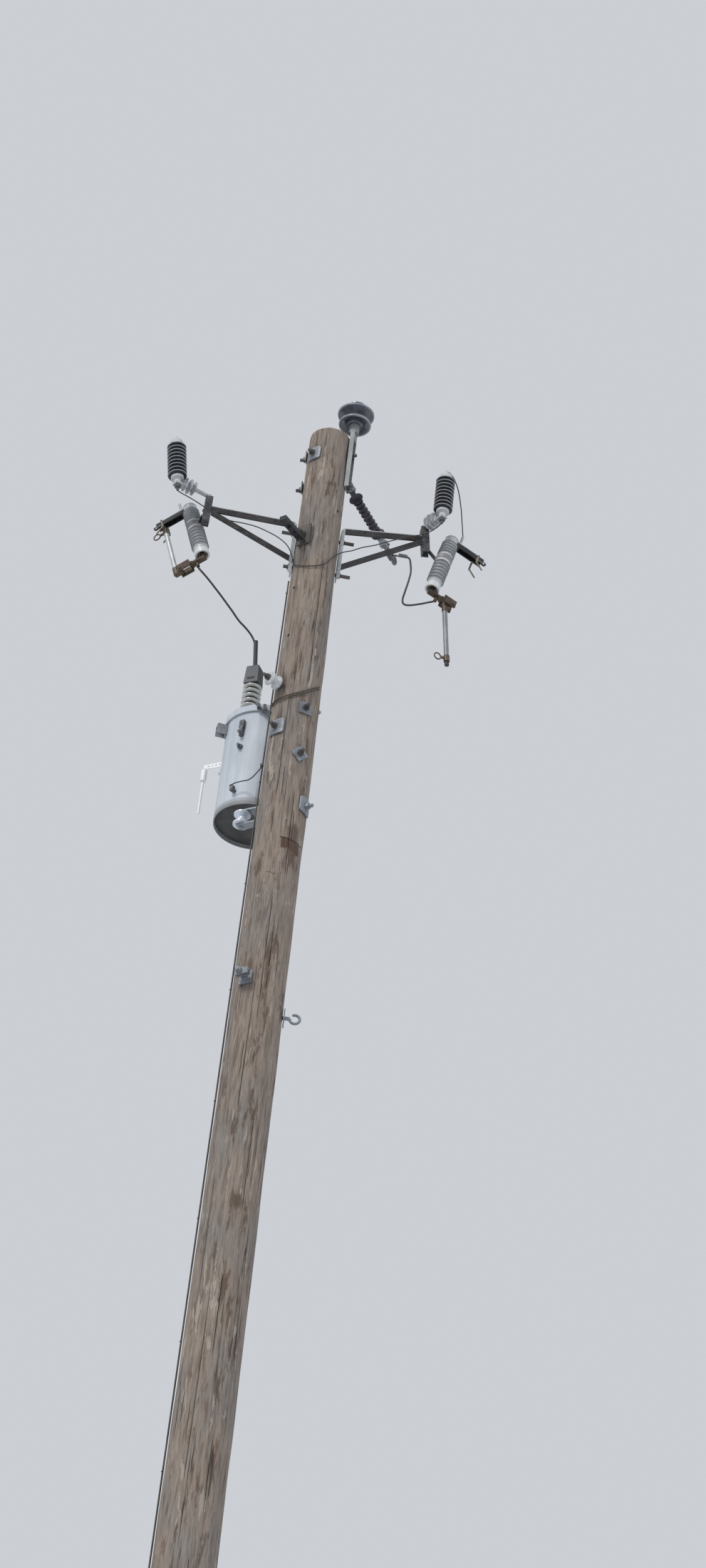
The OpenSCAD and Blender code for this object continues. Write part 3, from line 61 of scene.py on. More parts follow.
def place_camera():
    """The photograph's view: from standing height, looking up at the pole's head."""
    forward = Vector((math.sin(CAMERA_YAW) * math.cos(CAMERA_PITCH),
                      math.cos(CAMERA_YAW) * math.cos(CAMERA_PITCH), math.sin(CAMERA_PITCH)))
    level = Vector((math.cos(CAMERA_YAW), -math.sin(CAMERA_YAW), 0.0))
    right = level * math.cos(CAMERA_ROLL) + level.cross(forward) * math.sin(CAMERA_ROLL)
    up = right.cross(forward)
    lens = bpy.data.cameras.new("view")
    lens.sensor_width = SENSOR
    lens.lens = SENSOR * FOCAL_PIXELS / PICTURE_LONG_SIDE
    lens.clip_end = 200.0
    camera = bpy.data.objects.new("view", lens)
    bpy.context.scene.collection.objects.link(camera)
    camera.matrix_world = Matrix.Translation(CAMERA_AT) @ Matrix((right, up, -forward)).transposed().to_4x4()
    bpy.context.scene.camera = camera


place_camera()

COVERED_LEAD = 0.009
BARE_LEAD = 0.005
LEAD_SIDES = 12
LEAD_STEPS = 4

LEAD_ROUTES = {
    "hv_lead": (COVERED_LEAD, [
        (-0.504, 0.027, 10.803), (-0.491, 0.032, 10.792), (-0.474, 0.048, 10.786), (-0.457, 0.064, 10.779),
        (-0.437, 0.080, 10.767), (-0.417, 0.096, 10.754), (-0.397, 0.114, 10.743), (-0.376, 0.133, 10.730),
        (-0.353, 0.152, 10.714), (-0.330, 0.170, 10.697), (-0.312, 0.187, 10.684), (-0.294, 0.204, 10.674),
        (-0.276, 0.219, 10.668), (-0.260, 0.231, 10.660), (-0.246, 0.239, 10.649), (-0.235, 0.244, 10.637),
        (-0.226, 0.247, 10.623), (-0.219, 0.248, 10.608)]),
    "tap_jumper": (COVERED_LEAD, [
        (0.418, 0.507, 11.441), (0.430, 0.501, 11.429), (0.436, 0.487, 11.404), (0.438, 0.470, 11.375),
        (0.440, 0.450, 11.341), (0.441, 0.427, 11.307), (0.441, 0.400, 11.271), (0.440, 0.369, 11.231),
        (0.438, 0.334, 11.186), (0.434, 0.298, 11.137), (0.430, 0.260, 11.084), (0.425, 0.229, 11.035),
        (0.420, 0.201, 10.988), (0.415, 0.173, 10.941), (0.410, 0.147, 10.896), (0.407, 0.123, 10.856),
        (0.408, 0.102, 10.821), (0.415, 0.085, 10.797), (0.429, 0.071, 10.783), (0.449, 0.060, 10.778),
        (0.471, 0.051, 10.778), (0.493, 0.043, 10.780), (0.515, 0.035, 10.783), (0.538, 0.027, 10.786)]),
    "right_arrester_lead": (BARE_LEAD, [
        (0.538, -0.068, 11.468), (0.546, -0.068, 11.470), (0.555, -0.066, 11.465), (0.564, -0.062, 11.456),
        (0.574, -0.058, 11.443), (0.583, -0.052, 11.427), (0.592, -0.045, 11.409), (0.599, -0.038, 11.392),
        (0.606, -0.029, 11.371), (0.612, -0.020, 11.350), (0.617, -0.011, 11.331), (0.622, -0.001, 11.311),
        (0.627, 0.012, 11.287), (0.632, 0.026, 11.265), (0.637, 0.040, 11.248), (0.640, 0.054, 11.236),
        (0.643, 0.064, 11.228), (0.644, 0.072, 11.220)]),
    "right_ground_lead": (BARE_LEAD, [
        (0.536, -0.066, 11.168), (0.530, -0.052, 11.167), (0.522, -0.037, 11.166), (0.511, -0.024, 11.164),
        (0.498, -0.012, 11.160), (0.482, -0.004, 11.155), (0.465, 0.000, 11.147), (0.448, 0.002, 11.139),
        (0.421, 0.001, 11.128), (0.393, 0.000, 11.115), (0.360, 0.000, 11.100), (0.328, 0.000, 11.083),
        (0.290, 0.000, 11.063), (0.255, 0.000, 11.043), (0.228, -0.001, 11.031), (0.202, -0.002, 11.019),
        (0.178, -0.005, 11.003), (0.157, -0.010, 10.985), (0.138, -0.017, 10.972), (0.121, -0.024, 10.958),
        (0.106, -0.033, 10.942), (0.094, -0.044, 10.922), (0.083, -0.059, 10.898), (0.071, -0.073, 10.870),
        (0.059, -0.084, 10.843), (0.045, -0.092, 10.819), (0.026, -0.099, 10.802), (0.005, -0.102, 10.792),
        (-0.016, -0.101, 10.788), (-0.036, -0.096, 10.789), (-0.054, -0.087, 10.794), (-0.070, -0.075, 10.803),
        (-0.083, -0.060, 10.816), (-0.092, -0.045, 10.832)]),
    "left_ground_lead": (BARE_LEAD, [
        (-0.642, -0.112, 11.113), (-0.630, -0.107, 11.108), (-0.612, -0.103, 11.102), (-0.588, -0.098, 11.094),
        (-0.560, -0.092, 11.083), (-0.532, -0.086, 11.071), (-0.504, -0.080, 11.058), (-0.476, -0.076, 11.044),
        (-0.448, -0.074, 11.030), (-0.420, -0.073, 11.018), (-0.392, -0.072, 11.012), (-0.357, -0.069, 11.012),
        (-0.321, -0.065, 11.012), (-0.288, -0.062, 11.009), (-0.258, -0.060, 11.002), (-0.224, -0.062, 10.986),
        (-0.185, -0.069, 10.961), (-0.156, -0.076, 10.935), (-0.132, -0.079, 10.909), (-0.112, -0.074, 10.880),
        (-0.101, -0.062, 10.855), (-0.095, -0.048, 10.838)]),
    "tank_ground_lead": (BARE_LEAD, [
        (-0.236, 0.121, 9.712), (-0.228, 0.118, 9.717), (-0.219, 0.115, 9.722), (-0.209, 0.111, 9.726),
        (-0.198, 0.106, 9.728), (-0.187, 0.099, 9.728), (-0.176, 0.091, 9.726), (-0.166, 0.082, 9.723),
        (-0.156, 0.072, 9.722), (-0.147, 0.061, 9.723), (-0.138, 0.049, 9.727), (-0.130, 0.037, 9.732),
        (-0.122, 0.026, 9.738), (-0.115, 0.016, 9.744), (-0.110, 0.007, 9.748)]),
}


def smooth_route(points, steps):
    """Points on the smooth curve through a route's own points."""
    p = [Vector(point) for point in points]
    line = []
    for k in range(len(p) - 1):
        a, b, c, d = p[max(k - 1, 0)], p[k], p[k + 1], p[min(k + 2, len(p) - 1)]
        for i in range(steps):
            t = i / steps
            line.append((b * 2 + (c - a) * t + (a * 2 - b * 5 + c * 4 - d) * t ** 2
                         + (b * 3 - a - c * 3 + d) * t ** 3) / 2)
    return line + [p[-1]]


def tube(name, line, diameter, sides):
    """A closed round tube along a line, with U round it and V in metres along it."""
    last = len(line) - 1
    headings = [(line[min(i + 1, last)] - line[max(i - 1, 0)]).normalized() for i in range(last + 1)]
    side = headings[0].orthogonal()
    corners, faces, coordinates = [], [], []
    along = 0.0
    for i, (point, heading) in enumerate(zip(line, headings)):
        side = (side - heading * side.dot(heading)).normalized()
        other = heading.cross(side)
        along += (point - line[i - 1]).length if i else 0.0
        for k in range(sides):
            turn = 2 * math.pi * k / sides
            corners.append(point + (side * math.cos(turn) + other * math.sin(turn)) * diameter / 2)
        if i:
            for k in range(sides):
                a, b = (i - 1) * sides + k, (i - 1) * sides + (k + 1) % sides
                faces.append((a, b, b + sides, a + sides))
                step = (point - line[i - 1]).length
                coordinates += [(k / sides, along - step), ((k + 1) / sides, along - step),
                                ((k + 1) / sides, along), (k / sides, along)]
    for ring in (list(range(sides))[::-1], [len(corners) - sides + k for k in range(sides)]):
        faces.append(tuple(ring))
        coordinates += [(0.0, 0.0)] * sides
    mesh = bpy.data.meshes.new(name)
    mesh.from_pydata(corners, [], faces)
    uv = mesh.uv_layers.new(name="along")
    uv.data.foreach_set("uv", [value for pair in coordinates for value in pair])
    mesh.shade_smooth()
    made = bpy.data.objects.new(name, mesh)
    bpy.context.scene.collection.objects.link(made)
    return made


def make_leads():
    """Each lead as a tube on its route, in place of its CAD node."""
    leads = {}
    for node, (diameter, points) in LEAD_ROUTES.items():
        line = smooth_route(points, LEAD_STEPS)
        length = sum((b - a).length for a, b in zip(line, line[1:]))
        lead = tube(node + "_wire", line, diameter, LEAD_SIDES)
        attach(lead, "structure")
        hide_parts(node)
        leads[node] = lead
    return leads


leads = make_leads()


class Channel:
    """One number or colour of a finish. Arithmetic on it adds the nodes that work it out."""

    def __init__(self, finish, socket):
        self.finish = finish
        self.socket = socket

    def __add__(self, other):
        return self.finish.maths("ADD", self, other)

    def __sub__(self, other):
        return self.finish.maths("SUBTRACT", self, other)

    def __rsub__(self, other):
        return self.finish.maths("SUBTRACT", other, self)

    def __mul__(self, other):
        return self.finish.maths("MULTIPLY", self, other)

    __radd__ = __add__
    __rmul__ = __mul__

    def maximum(self, other):
        return self.finish.maths("MAXIMUM", self, other)

    def above(self, low, high):
        """0 below low, 1 above high, and smooth between."""
        return self.finish.node("ShaderNodeMapRange", {"interpolation_type": "SMOOTHSTEP"},
                                {"Value": self, "From Min": low, "From Max": high})

    def within(self, low, high, soft):
        """1 from low to high and 0 outside, with soft edges."""
        return self.above(low - soft, low + soft) * (1 - self.above(high - soft, high + soft))


class Finish:
    """A procedural material, built from its nodes."""

    def __init__(self, name, colour, roughness, metallic=0.0, **constants):
        self.material = bpy.data.materials.new(name)
        self.material.use_nodes = True
        self.tree = self.material.node_tree
        self.shader = self.tree.nodes["Principled BSDF"]
        self.set("Base Color", (*colour, 1.0))
        self.set("Roughness", roughness)
        self.set("Metallic", metallic)
        for key, value in constants.items():
            self.set(key.replace("_", " "), value)
        self.place = self.node("ShaderNodeTexCoord", {}, {}, "Object")

    def set(self, socket, value):
        self.plug(self.shader.inputs[socket], value)

    def plug(self, socket, value):
        if isinstance(value, Channel):
            self.tree.links.new(value.socket, socket)
        else:
            socket.default_value = value

    def node(self, kind, settings, inputs, output=0):
        """A node of that type: its settings first, then the values or links of its sockets."""
        made = self.tree.nodes.new(kind)
        for key, value in settings.items():
            setattr(made, key, value)
        for key, value in inputs.items():
            self.plug(made.inputs[key], value)
        return Channel(self, made.outputs[output])

    def maths(self, operation, first, second=0.0):
        return self.node("ShaderNodeMath", {"operation": operation}, {0: first, 1: second})

    def vector(self, operation, first, second=(0.0, 0.0, 0.0), output=0):
        return self.node("ShaderNodeVectorMath", {"operation": operation}, {0: first, 1: second}, output)

    def axis(self, letter):
        return self.node("ShaderNodeSeparateXYZ", {}, {0: self.place}, letter)

    def along(self, origin, direction):
        """Distance from a plane through the origin, along its direction."""
        offset = self.vector("SUBTRACT", self.place, tuple(origin))
        return self.vector("DOT_PRODUCT", offset, tuple(direction), "Value")

    def around(self, origin, direction):
        """Distance from a line."""
        offset = self.vector("SUBTRACT", self.place, tuple(origin))
        return self.vector("LENGTH", self.vector("CROSS_PRODUCT", offset, tuple(direction)), output="Value")

    def near(self, point, radius, soft):
        """1 within a radius of a point and 0 outside, with a soft edge."""
        offset = self.vector("SUBTRACT", self.place, tuple(point))
        return 1 - self.vector("LENGTH", offset, output="Value").above(radius - soft, radius + soft)

    def noise(self, scale, detail=4.0, roughness=0.55, stretch=(1.0, 1.0, 1.0), shift=(0.0, 0.0, 0.0)):
        """Noise on the piece's own place. A small stretch on an axis draws it out along that axis."""
        place = self.node("ShaderNodeMapping", {},
                          {"Vector": self.place, "Scale": stretch, "Location": shift})
        return self.node("ShaderNodeTexNoise", {}, {"Vector": place, "Scale": scale, "Detail": detail,
                                                    "Roughness": roughness})

    def mix(self, factor, first, second):
        """The first colour where the factor is 0 and the second where it is 1."""
        def colour(value):
            return value if isinstance(value, Channel) else (*value, 1.0)
        inputs = {0: factor, 6: colour(first), 7: colour(second)}
        return self.node("ShaderNodeMix", {"data_type": "RGBA"}, inputs, 2)

    def bump(self, height, strength, distance):
        self.set("Normal", self.node("ShaderNodeBump", {}, {"Height": height, "Strength": strength,
                                                          "Distance": distance}))


RUST = (0.145, 0.062, 0.028)
DUST = (0.30, 0.29, 0.26)
BLACK_STEEL = (0.012, 0.012, 0.014)
WORN_STEEL = (0.040, 0.039, 0.042)
DARK_BOLT = (0.045, 0.042, 0.042)
WORN_BOLT = (0.115, 0.110, 0.110)
ZINC = (0.155, 0.172, 0.195)
PALE_ZINC = (0.285, 0.305, 0.330)
GREY_GLAZE = (0.050, 0.057, 0.074)
CHARCOAL = (0.016, 0.018, 0.024)
BRONZE = (0.036, 0.025, 0.017)
FIBRE = {
    "right": ((0.175, 0.185, 0.198), (0.265, 0.275, 0.290)),
    "left": ((0.40, 0.41, 0.42), (0.56, 0.57, 0.58)),
}


def metal(name, colour, pale, roughness, metallic, rust=0.0, zones=()):
    """Mottled metal with some rust. Each zone is a mask maker, a colour and a second one for its mottling."""
    finish = Finish(name, colour, roughness, metallic)
    fine = finish.noise(140.0)
    broad = finish.noise(14.0, shift=(3.0, 1.0, 7.0))
    cloud = (fine * 0.45 + broad * 0.55).above(0.36, 0.66)
    tone = finish.mix(cloud, colour, pale)
    for mask, dull, light in zones:
        tone = finish.mix(mask(finish), tone, finish.mix(cloud, dull, light))
    blotches = finish.noise(36.0, detail=6.0, roughness=0.7, shift=(9.0, 4.0, 2.0))
    patches = blotches.above(0.62 - 0.24 * rust, 0.78)
    tone = finish.mix(patches * min(1.0, 2 * rust), tone, RUST)
    finish.set("Base Color", tone)
    finish.set("Metallic", metallic * (1 - patches * rust))
    finish.set("Roughness", roughness + (fine - 0.5) * 0.28 + patches * rust * 0.3)
    finish.bump(fine + patches * rust, 0.35, 0.0008)
    return finish.material


def glaze(name, colour, pale, roughness=0.22, zones=()):
    """Glazed ceramic with rain streaks, dark specks and patches of dust."""
    finish = Finish(name, colour, roughness, Coat_Weight=0.3, Coat_Roughness=0.3)
    streaks = finish.noise(30.0, stretch=(1.0, 1.0, 0.18))
    specks = finish.noise(240.0, detail=2.0)
    tone = finish.mix(streaks.above(0.38, 0.66), colour, pale)
    for mask, dull, light in zones:
        tone = finish.mix(mask(finish), tone, finish.mix(streaks, dull, light))
    grime = finish.noise(9.0, detail=6.0, shift=(2.0, 5.0, 1.0)).above(0.50, 0.78)
    tone = finish.mix(grime * 0.35, tone, DUST)
    finish.set("Base Color", finish.mix(specks.above(0.66, 0.72) * 0.4, tone, (0.08, 0.07, 0.06)))
    finish.set("Roughness", roughness + grime * 0.35 + streaks * 0.10)
    finish.bump(streaks, 0.10, 0.0010)
    return finish.material


def rubber(name, colour, pale, zones=()):
    """Weathered polymer: chalky, with fine dust that gathers in streaks."""
    finish = Finish(name, colour, 0.62)
    chalk = finish.noise(46.0, detail=5.0, stretch=(1.0, 1.0, 0.4))
    tone = finish.mix(chalk.above(0.40, 0.72), colour, pale)
    for mask, dull, light in zones:
        tone = finish.mix(mask(finish), tone, finish.mix(chalk, dull, light))
    finish.set("Base Color", tone)
    finish.set("Roughness", 0.50 + chalk * 0.28)
    finish.bump(finish.noise(300.0, detail=2.0), 0.18, 0.0006)
    return finish.material


def slanted(lean, face):
    """The upward line of a cutout that leans by one angle towards another, and its outward direction."""
    lean, face = math.radians(lean), math.radians(face)
    up = Vector((math.sin(lean) * math.cos(face), math.sin(lean) * math.sin(face), math.cos(lean)))
    out = Vector((math.cos(lean) * math.cos(face), math.cos(lean) * math.sin(face), -math.sin(lean)))
    return up, out


CUTOUTS = {
    "right": (Vector((0.566965, 0.034634, 11.0357)), *slanted(13, 25)),
    "left": (Vector((-0.547816, 0.049908, 11.0511)), *slanted(19, 147)),
}
ARRESTER_LEAN = math.radians(8)
ARRESTERS = {
    "right": (Vector((0.53594, -0.06821, 11.2153)), Vector((0.0, 0.0, 1.0))),
    "left": (Vector((-0.64896, -0.11388, 11.1670)),
             Vector((-math.sin(ARRESTER_LEAN), 0.0, math.cos(ARRESTER_LEAN)))),
}
ARRESTER_BODY = (0.020, 0.207)
ARRESTER_PLATE = 0.016
ARRESTER_RIM = 0.0405
BAND_HALF = 0.024
CUTOUT_FOOT = 0.198
FOOT_RING = 0.028
SOCKET_R = 0.026
SHED_EDGE = 0.0325
CLASP_R = 0.0375
ARM_UNDER = 0.112
CONTACT_H = 0.026
CONTACT_TIP = 0.120
PIVOT_OUT = 0.108
PIVOT_DROP = 0.222
TUBE_OFFSET = 0.138
TUBE_CLEAR = 0.006
TUBE_FOOT = 0.036
TUBE_HEAD = 0.050
TUBE_CAP = 0.020
BARREL_R = 0.0118
OPEN_ANGLE = math.radians(160)
EDGE = 0.0005
THIN_EDGE = 0.0006


def arrester_finish(side):
    """Charcoal sheds with a painted highlight on their thin rims, between pale ends, and a dark nut below."""
    stud, up = ARRESTERS[side]

    def sheds(finish):
        return finish.along(stud, up).within(*ARRESTER_BODY, THIN_EDGE)

    # Painted highlight: the outer rims of the sheds are painted paler than the sheds.
    def rim_highlights(finish):
        return finish.around(stud, up).above(ARRESTER_RIM - 0.0012, ARRESTER_RIM + 0.0008) * sheds(finish)

    def ends(finish):
        return 1 - sheds(finish)

    def nut(finish):
        return 1 - finish.along(stud, up).above(-ARRESTER_PLATE - EDGE, -ARRESTER_PLATE + EDGE)
    return rubber(side + "_arrester_rubber", CHARCOAL, (0.045, 0.047, 0.056),
                  [(rim_highlights, (0.20, 0.21, 0.22), (0.36, 0.37, 0.38)),
                   (ends, (0.40, 0.41, 0.42), (0.56, 0.57, 0.58)),
                   (nut, (0.05, 0.05, 0.055), (0.13, 0.12, 0.12))])


def cutout_glaze(side):
    """Light glaze with painted shade on the shed edges, a pale band and foot ring, and painted shade on the
    socket underneath.
    """
    band, up, _ = CUTOUTS[side]
    ring_top = FOOT_RING - CUTOUT_FOOT

    def pale(finish):
        t = finish.along(band, up)
        return t.within(-BAND_HALF, BAND_HALF, 0.001) + (1 - t.above(ring_top - 0.001, ring_top + 0.001))

    # Painted shade: the socket under the foot is painted nearly black.
    def shaded_socket(finish):
        inside = 1 - finish.around(band, up).above(SOCKET_R - EDGE, SOCKET_R + EDGE)
        return inside * (1 - finish.along(band, up).above(-CUTOUT_FOOT - EDGE, -CUTOUT_FOOT + EDGE))

    # Painted shade: the outer edges of the sheds are painted darker.
    def sheds(finish):
        return finish.around(band, up).above(SHED_EDGE, SHED_EDGE + 0.0025) * (1 - pale(finish))
    return glaze(side + "_cutout_glaze", (0.40, 0.42, 0.43), (0.54, 0.56, 0.56), 0.20,
                 [(sheds, (0.120, 0.128, 0.140), (0.215, 0.225, 0.240)),
                  (pale, (0.50, 0.51, 0.50), (0.64, 0.65, 0.64)),
                  (shaded_socket, (0.03, 0.03, 0.03), (0.06, 0.05, 0.05))])


def contact_steel(side):
    """Dark upper contact with a pale top flange and a worn brassy tip."""
    band, up, out = CUTOUTS[side]
    flange = ARM_UNDER + CONTACT_H - 0.004

    def top(finish):
        return finish.along(band, up).above(flange, flange + 0.001)

    def tip(finish):
        below = 1 - finish.along(band, up).above(ARM_UNDER, ARM_UNDER + 0.004)
        return finish.along(band, out).above(CONTACT_TIP, CONTACT_TIP + 0.012) * below
    return metal(side + "_contact_steel", BLACK_STEEL, WORN_STEEL, 0.5, 0.4, 0.25,
                 [(top, (0.34, 0.35, 0.36), (0.50, 0.51, 0.52)),
                  (tip, (0.16, 0.13, 0.10), (0.27, 0.24, 0.20))])


def tube_finish(side):
    """The fuse tube's grey fibre barrel between its bronze ends, in the place where it stands at rest."""
    band, up, out = CUTOUTS[side]
    pivot = band + out * PIVOT_OUT - up * PIVOT_DROP
    turn = OPEN_ANGLE if side == "right" else 0.0
    axis = up * math.cos(turn) + out * math.sin(turn)
    outward = out * math.cos(turn) - up * math.sin(turn)
    line = pivot + outward * (TUBE_OFFSET - PIVOT_OUT)
    top = ARM_UNDER + PIVOT_DROP - TUBE_CLEAR

    def barrel(finish):
        inside = 1 - finish.around(line, axis).above(BARREL_R, BARREL_R + 0.001)
        return finish.along(line, axis).within(TUBE_FOOT, top - TUBE_HEAD, THIN_EDGE) * inside

    def cap(finish):
        return finish.along(line, axis).above(top - TUBE_CAP - EDGE, top - TUBE_CAP + EDGE)
    dull, light = FIBRE[side]
    return metal(side + "_tube_finish", (0.060, 0.045, 0.034), (0.150, 0.112, 0.080), 0.5, 0.5, 0.15,
                 [(barrel, dull, light), (cap, (0.015, 0.015, 0.016), (0.045, 0.044, 0.044))])


def mount_arm_steel(side):
    """The dark arm that carries a cutout, with its pale band round the insulator."""
    band, up, _ = CUTOUTS[side]

    def clasp(finish):
        return 1 - finish.around(band, up).above(CLASP_R, CLASP_R + 0.0015)
    return metal(side + "_mount_arm_steel", BLACK_STEEL, WORN_STEEL, 0.55, 0.35, 0.3,
                 [(clasp, (0.36, 0.37, 0.38), (0.55, 0.56, 0.56))])


def polar(azimuth, radius, height):
    """The point at an azimuth in degrees from +X, a radius from the pole's axis and a height."""
    azimuth = math.radians(azimuth)
    return Vector((radius * math.cos(azimuth), radius * math.sin(azimuth), height))


POLE_H = 11.655
POLE_BASE_D = 0.290
POLE_TOP_D = 0.190
POLE_BEVEL = 0.030
UP = Vector((0.0, 0.0, 1.0))
PIN_AXIS_AT = polar(-18, 0.1057, POLE_H + 0.050)


def pole_radius(height):
    """The radius of the pole's plain solid, which tapers evenly."""
    return (POLE_BASE_D + (POLE_TOP_D - POLE_BASE_D) * height / POLE_H) / 2


BRACKET_AZ = 4
BRACKETS = {
    "right": (polar(BRACKET_AZ, 1.0, 0.0), POLE_H - 0.548, 6.5),
    "left": (polar(BRACKET_AZ + 180, 1.0, 0.0), POLE_H - 0.561, 1.0),
}
STRIP_SEAT = 0.0986


def bracket_steel(side):
    """Dark angle steel: its top flange is painted pale as highlight, and the upright strip is still bright
    zinc.
    """
    out, root, rise = BRACKETS[side]
    rise = math.radians(rise)
    square = Vector((-out.x * math.sin(rise), -out.y * math.sin(rise), math.cos(rise)))
    seat = out * STRIP_SEAT + UP * root

    # Painted highlight: the top flange is painted pale for the light that falls on it from above.
    def flange(finish):
        return finish.along(seat, square).above(-0.0045, -0.0035)

    def strip(finish):
        return 1 - finish.along(seat, out).above(0.0165, 0.018)
    return metal(side + "_bracket_steel", BLACK_STEEL, WORN_STEEL, 0.55, 0.35, 0.35,
                 [(flange, (0.34, 0.35, 0.35), (0.50, 0.51, 0.51)),
                  (strip, (0.27, 0.29, 0.30), (0.43, 0.45, 0.46))])


TANK_AT = Vector((-0.12135, 0.29298, 9.640))
WELD_UP = (0.030, 0.494)


def tank_enamel(name):
    """Pale blue-grey enamel: rain streaks, rust freckles, weld beads and a darker band at the foot."""
    finish = Finish(name, (0.50, 0.54, 0.59), 0.5)
    height = finish.along(TANK_AT, UP)
    streaks = finish.noise(26.0, detail=5.0, stretch=(1.0, 1.0, 0.07))
    cloud = finish.noise(5.0, detail=5.0, shift=(1.0, 8.0, 3.0))
    peel = finish.noise(420.0, detail=2.0)
    tone = finish.mix((streaks * 0.5 + cloud * 0.5).above(0.38, 0.64), (0.40, 0.44, 0.49), (0.51, 0.55, 0.60))
    runs = streaks.above(0.58, 0.74) * (1 - height.above(0.05, 0.50)) * 0.55
    tone = finish.mix(runs, tone, (0.17, 0.17, 0.16))
    foot = (1 - height.above(0.004, 0.045)) * (0.4 + cloud * 0.7)
    tone = finish.mix(foot, tone, (0.13, 0.13, 0.125))
    freckles = finish.noise(95.0, detail=6.0, roughness=0.75, shift=(4.0, 0.0, 6.0)).above(0.665, 0.72)
    tone = finish.mix(freckles * 0.8, tone, RUST)
    beads = height.within(WELD_UP[0] - 0.002, WELD_UP[0] + 0.002, 0.002) \
        + height.within(WELD_UP[1] - 0.002, WELD_UP[1] + 0.002, 0.002)
    finish.set("Base Color", finish.mix(beads * 0.35, tone, (0.20, 0.21, 0.22)))
    finish.set("Roughness", 0.50 + runs * 0.3 + freckles * 0.3 + cloud * 0.12)
    finish.bump(peel * 0.25 + beads * 2 - freckles * 0.6, 0.3, 0.0010)
    return finish.material


GUARD_AT = Vector((-0.1985, 0.2415, 10.3553))
GUARD_H = 0.094
GUARD_FACE = polar(-115, 1.0, 0.0)
GUARD_SIDE = polar(-25, 1.0, 0.0)


def guard_plastic():
    """Dark moulded guard: a slightly paler face, a black slot low on it, and a dark sleeve above."""
    def face(finish):
        below = 1 - finish.along(GUARD_AT, UP).above(GUARD_H, GUARD_H + 0.001)
        return finish.along(GUARD_AT, GUARD_FACE).above(0.0275, 0.0290) * below

    def slot(finish):
        across = finish.along(GUARD_AT, GUARD_SIDE).within(-0.018, 0.018, 0.001)
        return finish.along(GUARD_AT, UP).within(0.016, 0.030, 0.001) * across

    def sleeve(finish):
        return finish.along(GUARD_AT, UP).above(GUARD_H + 0.001, GUARD_H + 0.002)
    return rubber("guard_plastic", (0.032, 0.034, 0.038), (0.065, 0.068, 0.074),
                  [(face, (0.070, 0.076, 0.084), (0.125, 0.132, 0.142)),
                   (slot, (0.008, 0.008, 0.008), (0.015, 0.015, 0.015)),
                   (sleeve, (0.020, 0.022, 0.026), (0.050, 0.053, 0.060))])


BUSHING_AXIS_AT = Vector((-0.1985, 0.2415, 10.200))


def bushing_glaze():
    """Pale sheds with painted shade in the gaps between them."""
    # Painted shade: the gaps between the sheds are painted dark.
    def shaded_gaps(finish):
        return 1 - finish.around(BUSHING_AXIS_AT, UP).above(0.029, 0.033)
    return glaze("bushing_glaze", (0.46, 0.47, 0.45), (0.60, 0.61, 0.58), 0.24,
                 [(shaded_gaps, (0.055, 0.056, 0.056), (0.10, 0.10, 0.10))])


def tank_underside_painted_shade():
    """The sheet under the tank, painted nearly black as shade, with patches of rust."""
    # Painted shade: the underside is coloured nearly black for the shade under the tank.
    return metal("tank_underside_painted_shade", (0.022, 0.023, 0.025), (0.055, 0.055, 0.055), 0.65, 0.1, 0.3)


def wire_finish():
    """Weathered dark covering, with a twist that follows each lead's own length."""
    finish = Finish("lead_covering", (0.035, 0.035, 0.038), 0.55, 0.2)
    uv = finish.node("ShaderNodeUVMap", {"uv_map": "along"}, {})
    round_it = finish.node("ShaderNodeSeparateXYZ", {}, {0: uv}, "X")
    along_it = finish.node("ShaderNodeSeparateXYZ", {}, {0: uv}, "Y")
    twist = finish.maths("SINE", (round_it * 6 + along_it * 90) * (2 * math.pi))
    grime = finish.noise(60.0, detail=5.0)
    worn = (twist * 0.25 + grime).above(0.35, 0.85)
    finish.set("Base Color", finish.mix(worn, (0.022, 0.022, 0.026), (0.085, 0.080, 0.074)))
    finish.set("Roughness", 0.42 + grime * 0.3)
    finish.bump(twist, 0.35, 0.0006)
    return finish.material


STAIN_AT = polar(-58, 0.108, 9.296)
STAIN_HALF = 0.027
STAIN_SIDE = polar(32, 1.0, 0.0)
OLD_HOLES = [(218, 0.967), (222, 1.242), (320, 0.495)]
OLD_HOLE_R = 0.0075
CROSS_CRACKS = [(polar(-100, 0.106, 9.142), 0.022, 0.9), (polar(-78, 0.098, 11.292), 0.030, -0.4)]
BOLT_MOUTHS = [polar(226, 0.0965, 11.475), polar(220, 0.102, 10.135), polar(226, 0.104, 9.904),
               polar(184, 0.0985, 10.845), polar(237, 0.108, 8.626), polar(-1, 0.109, 8.517)]


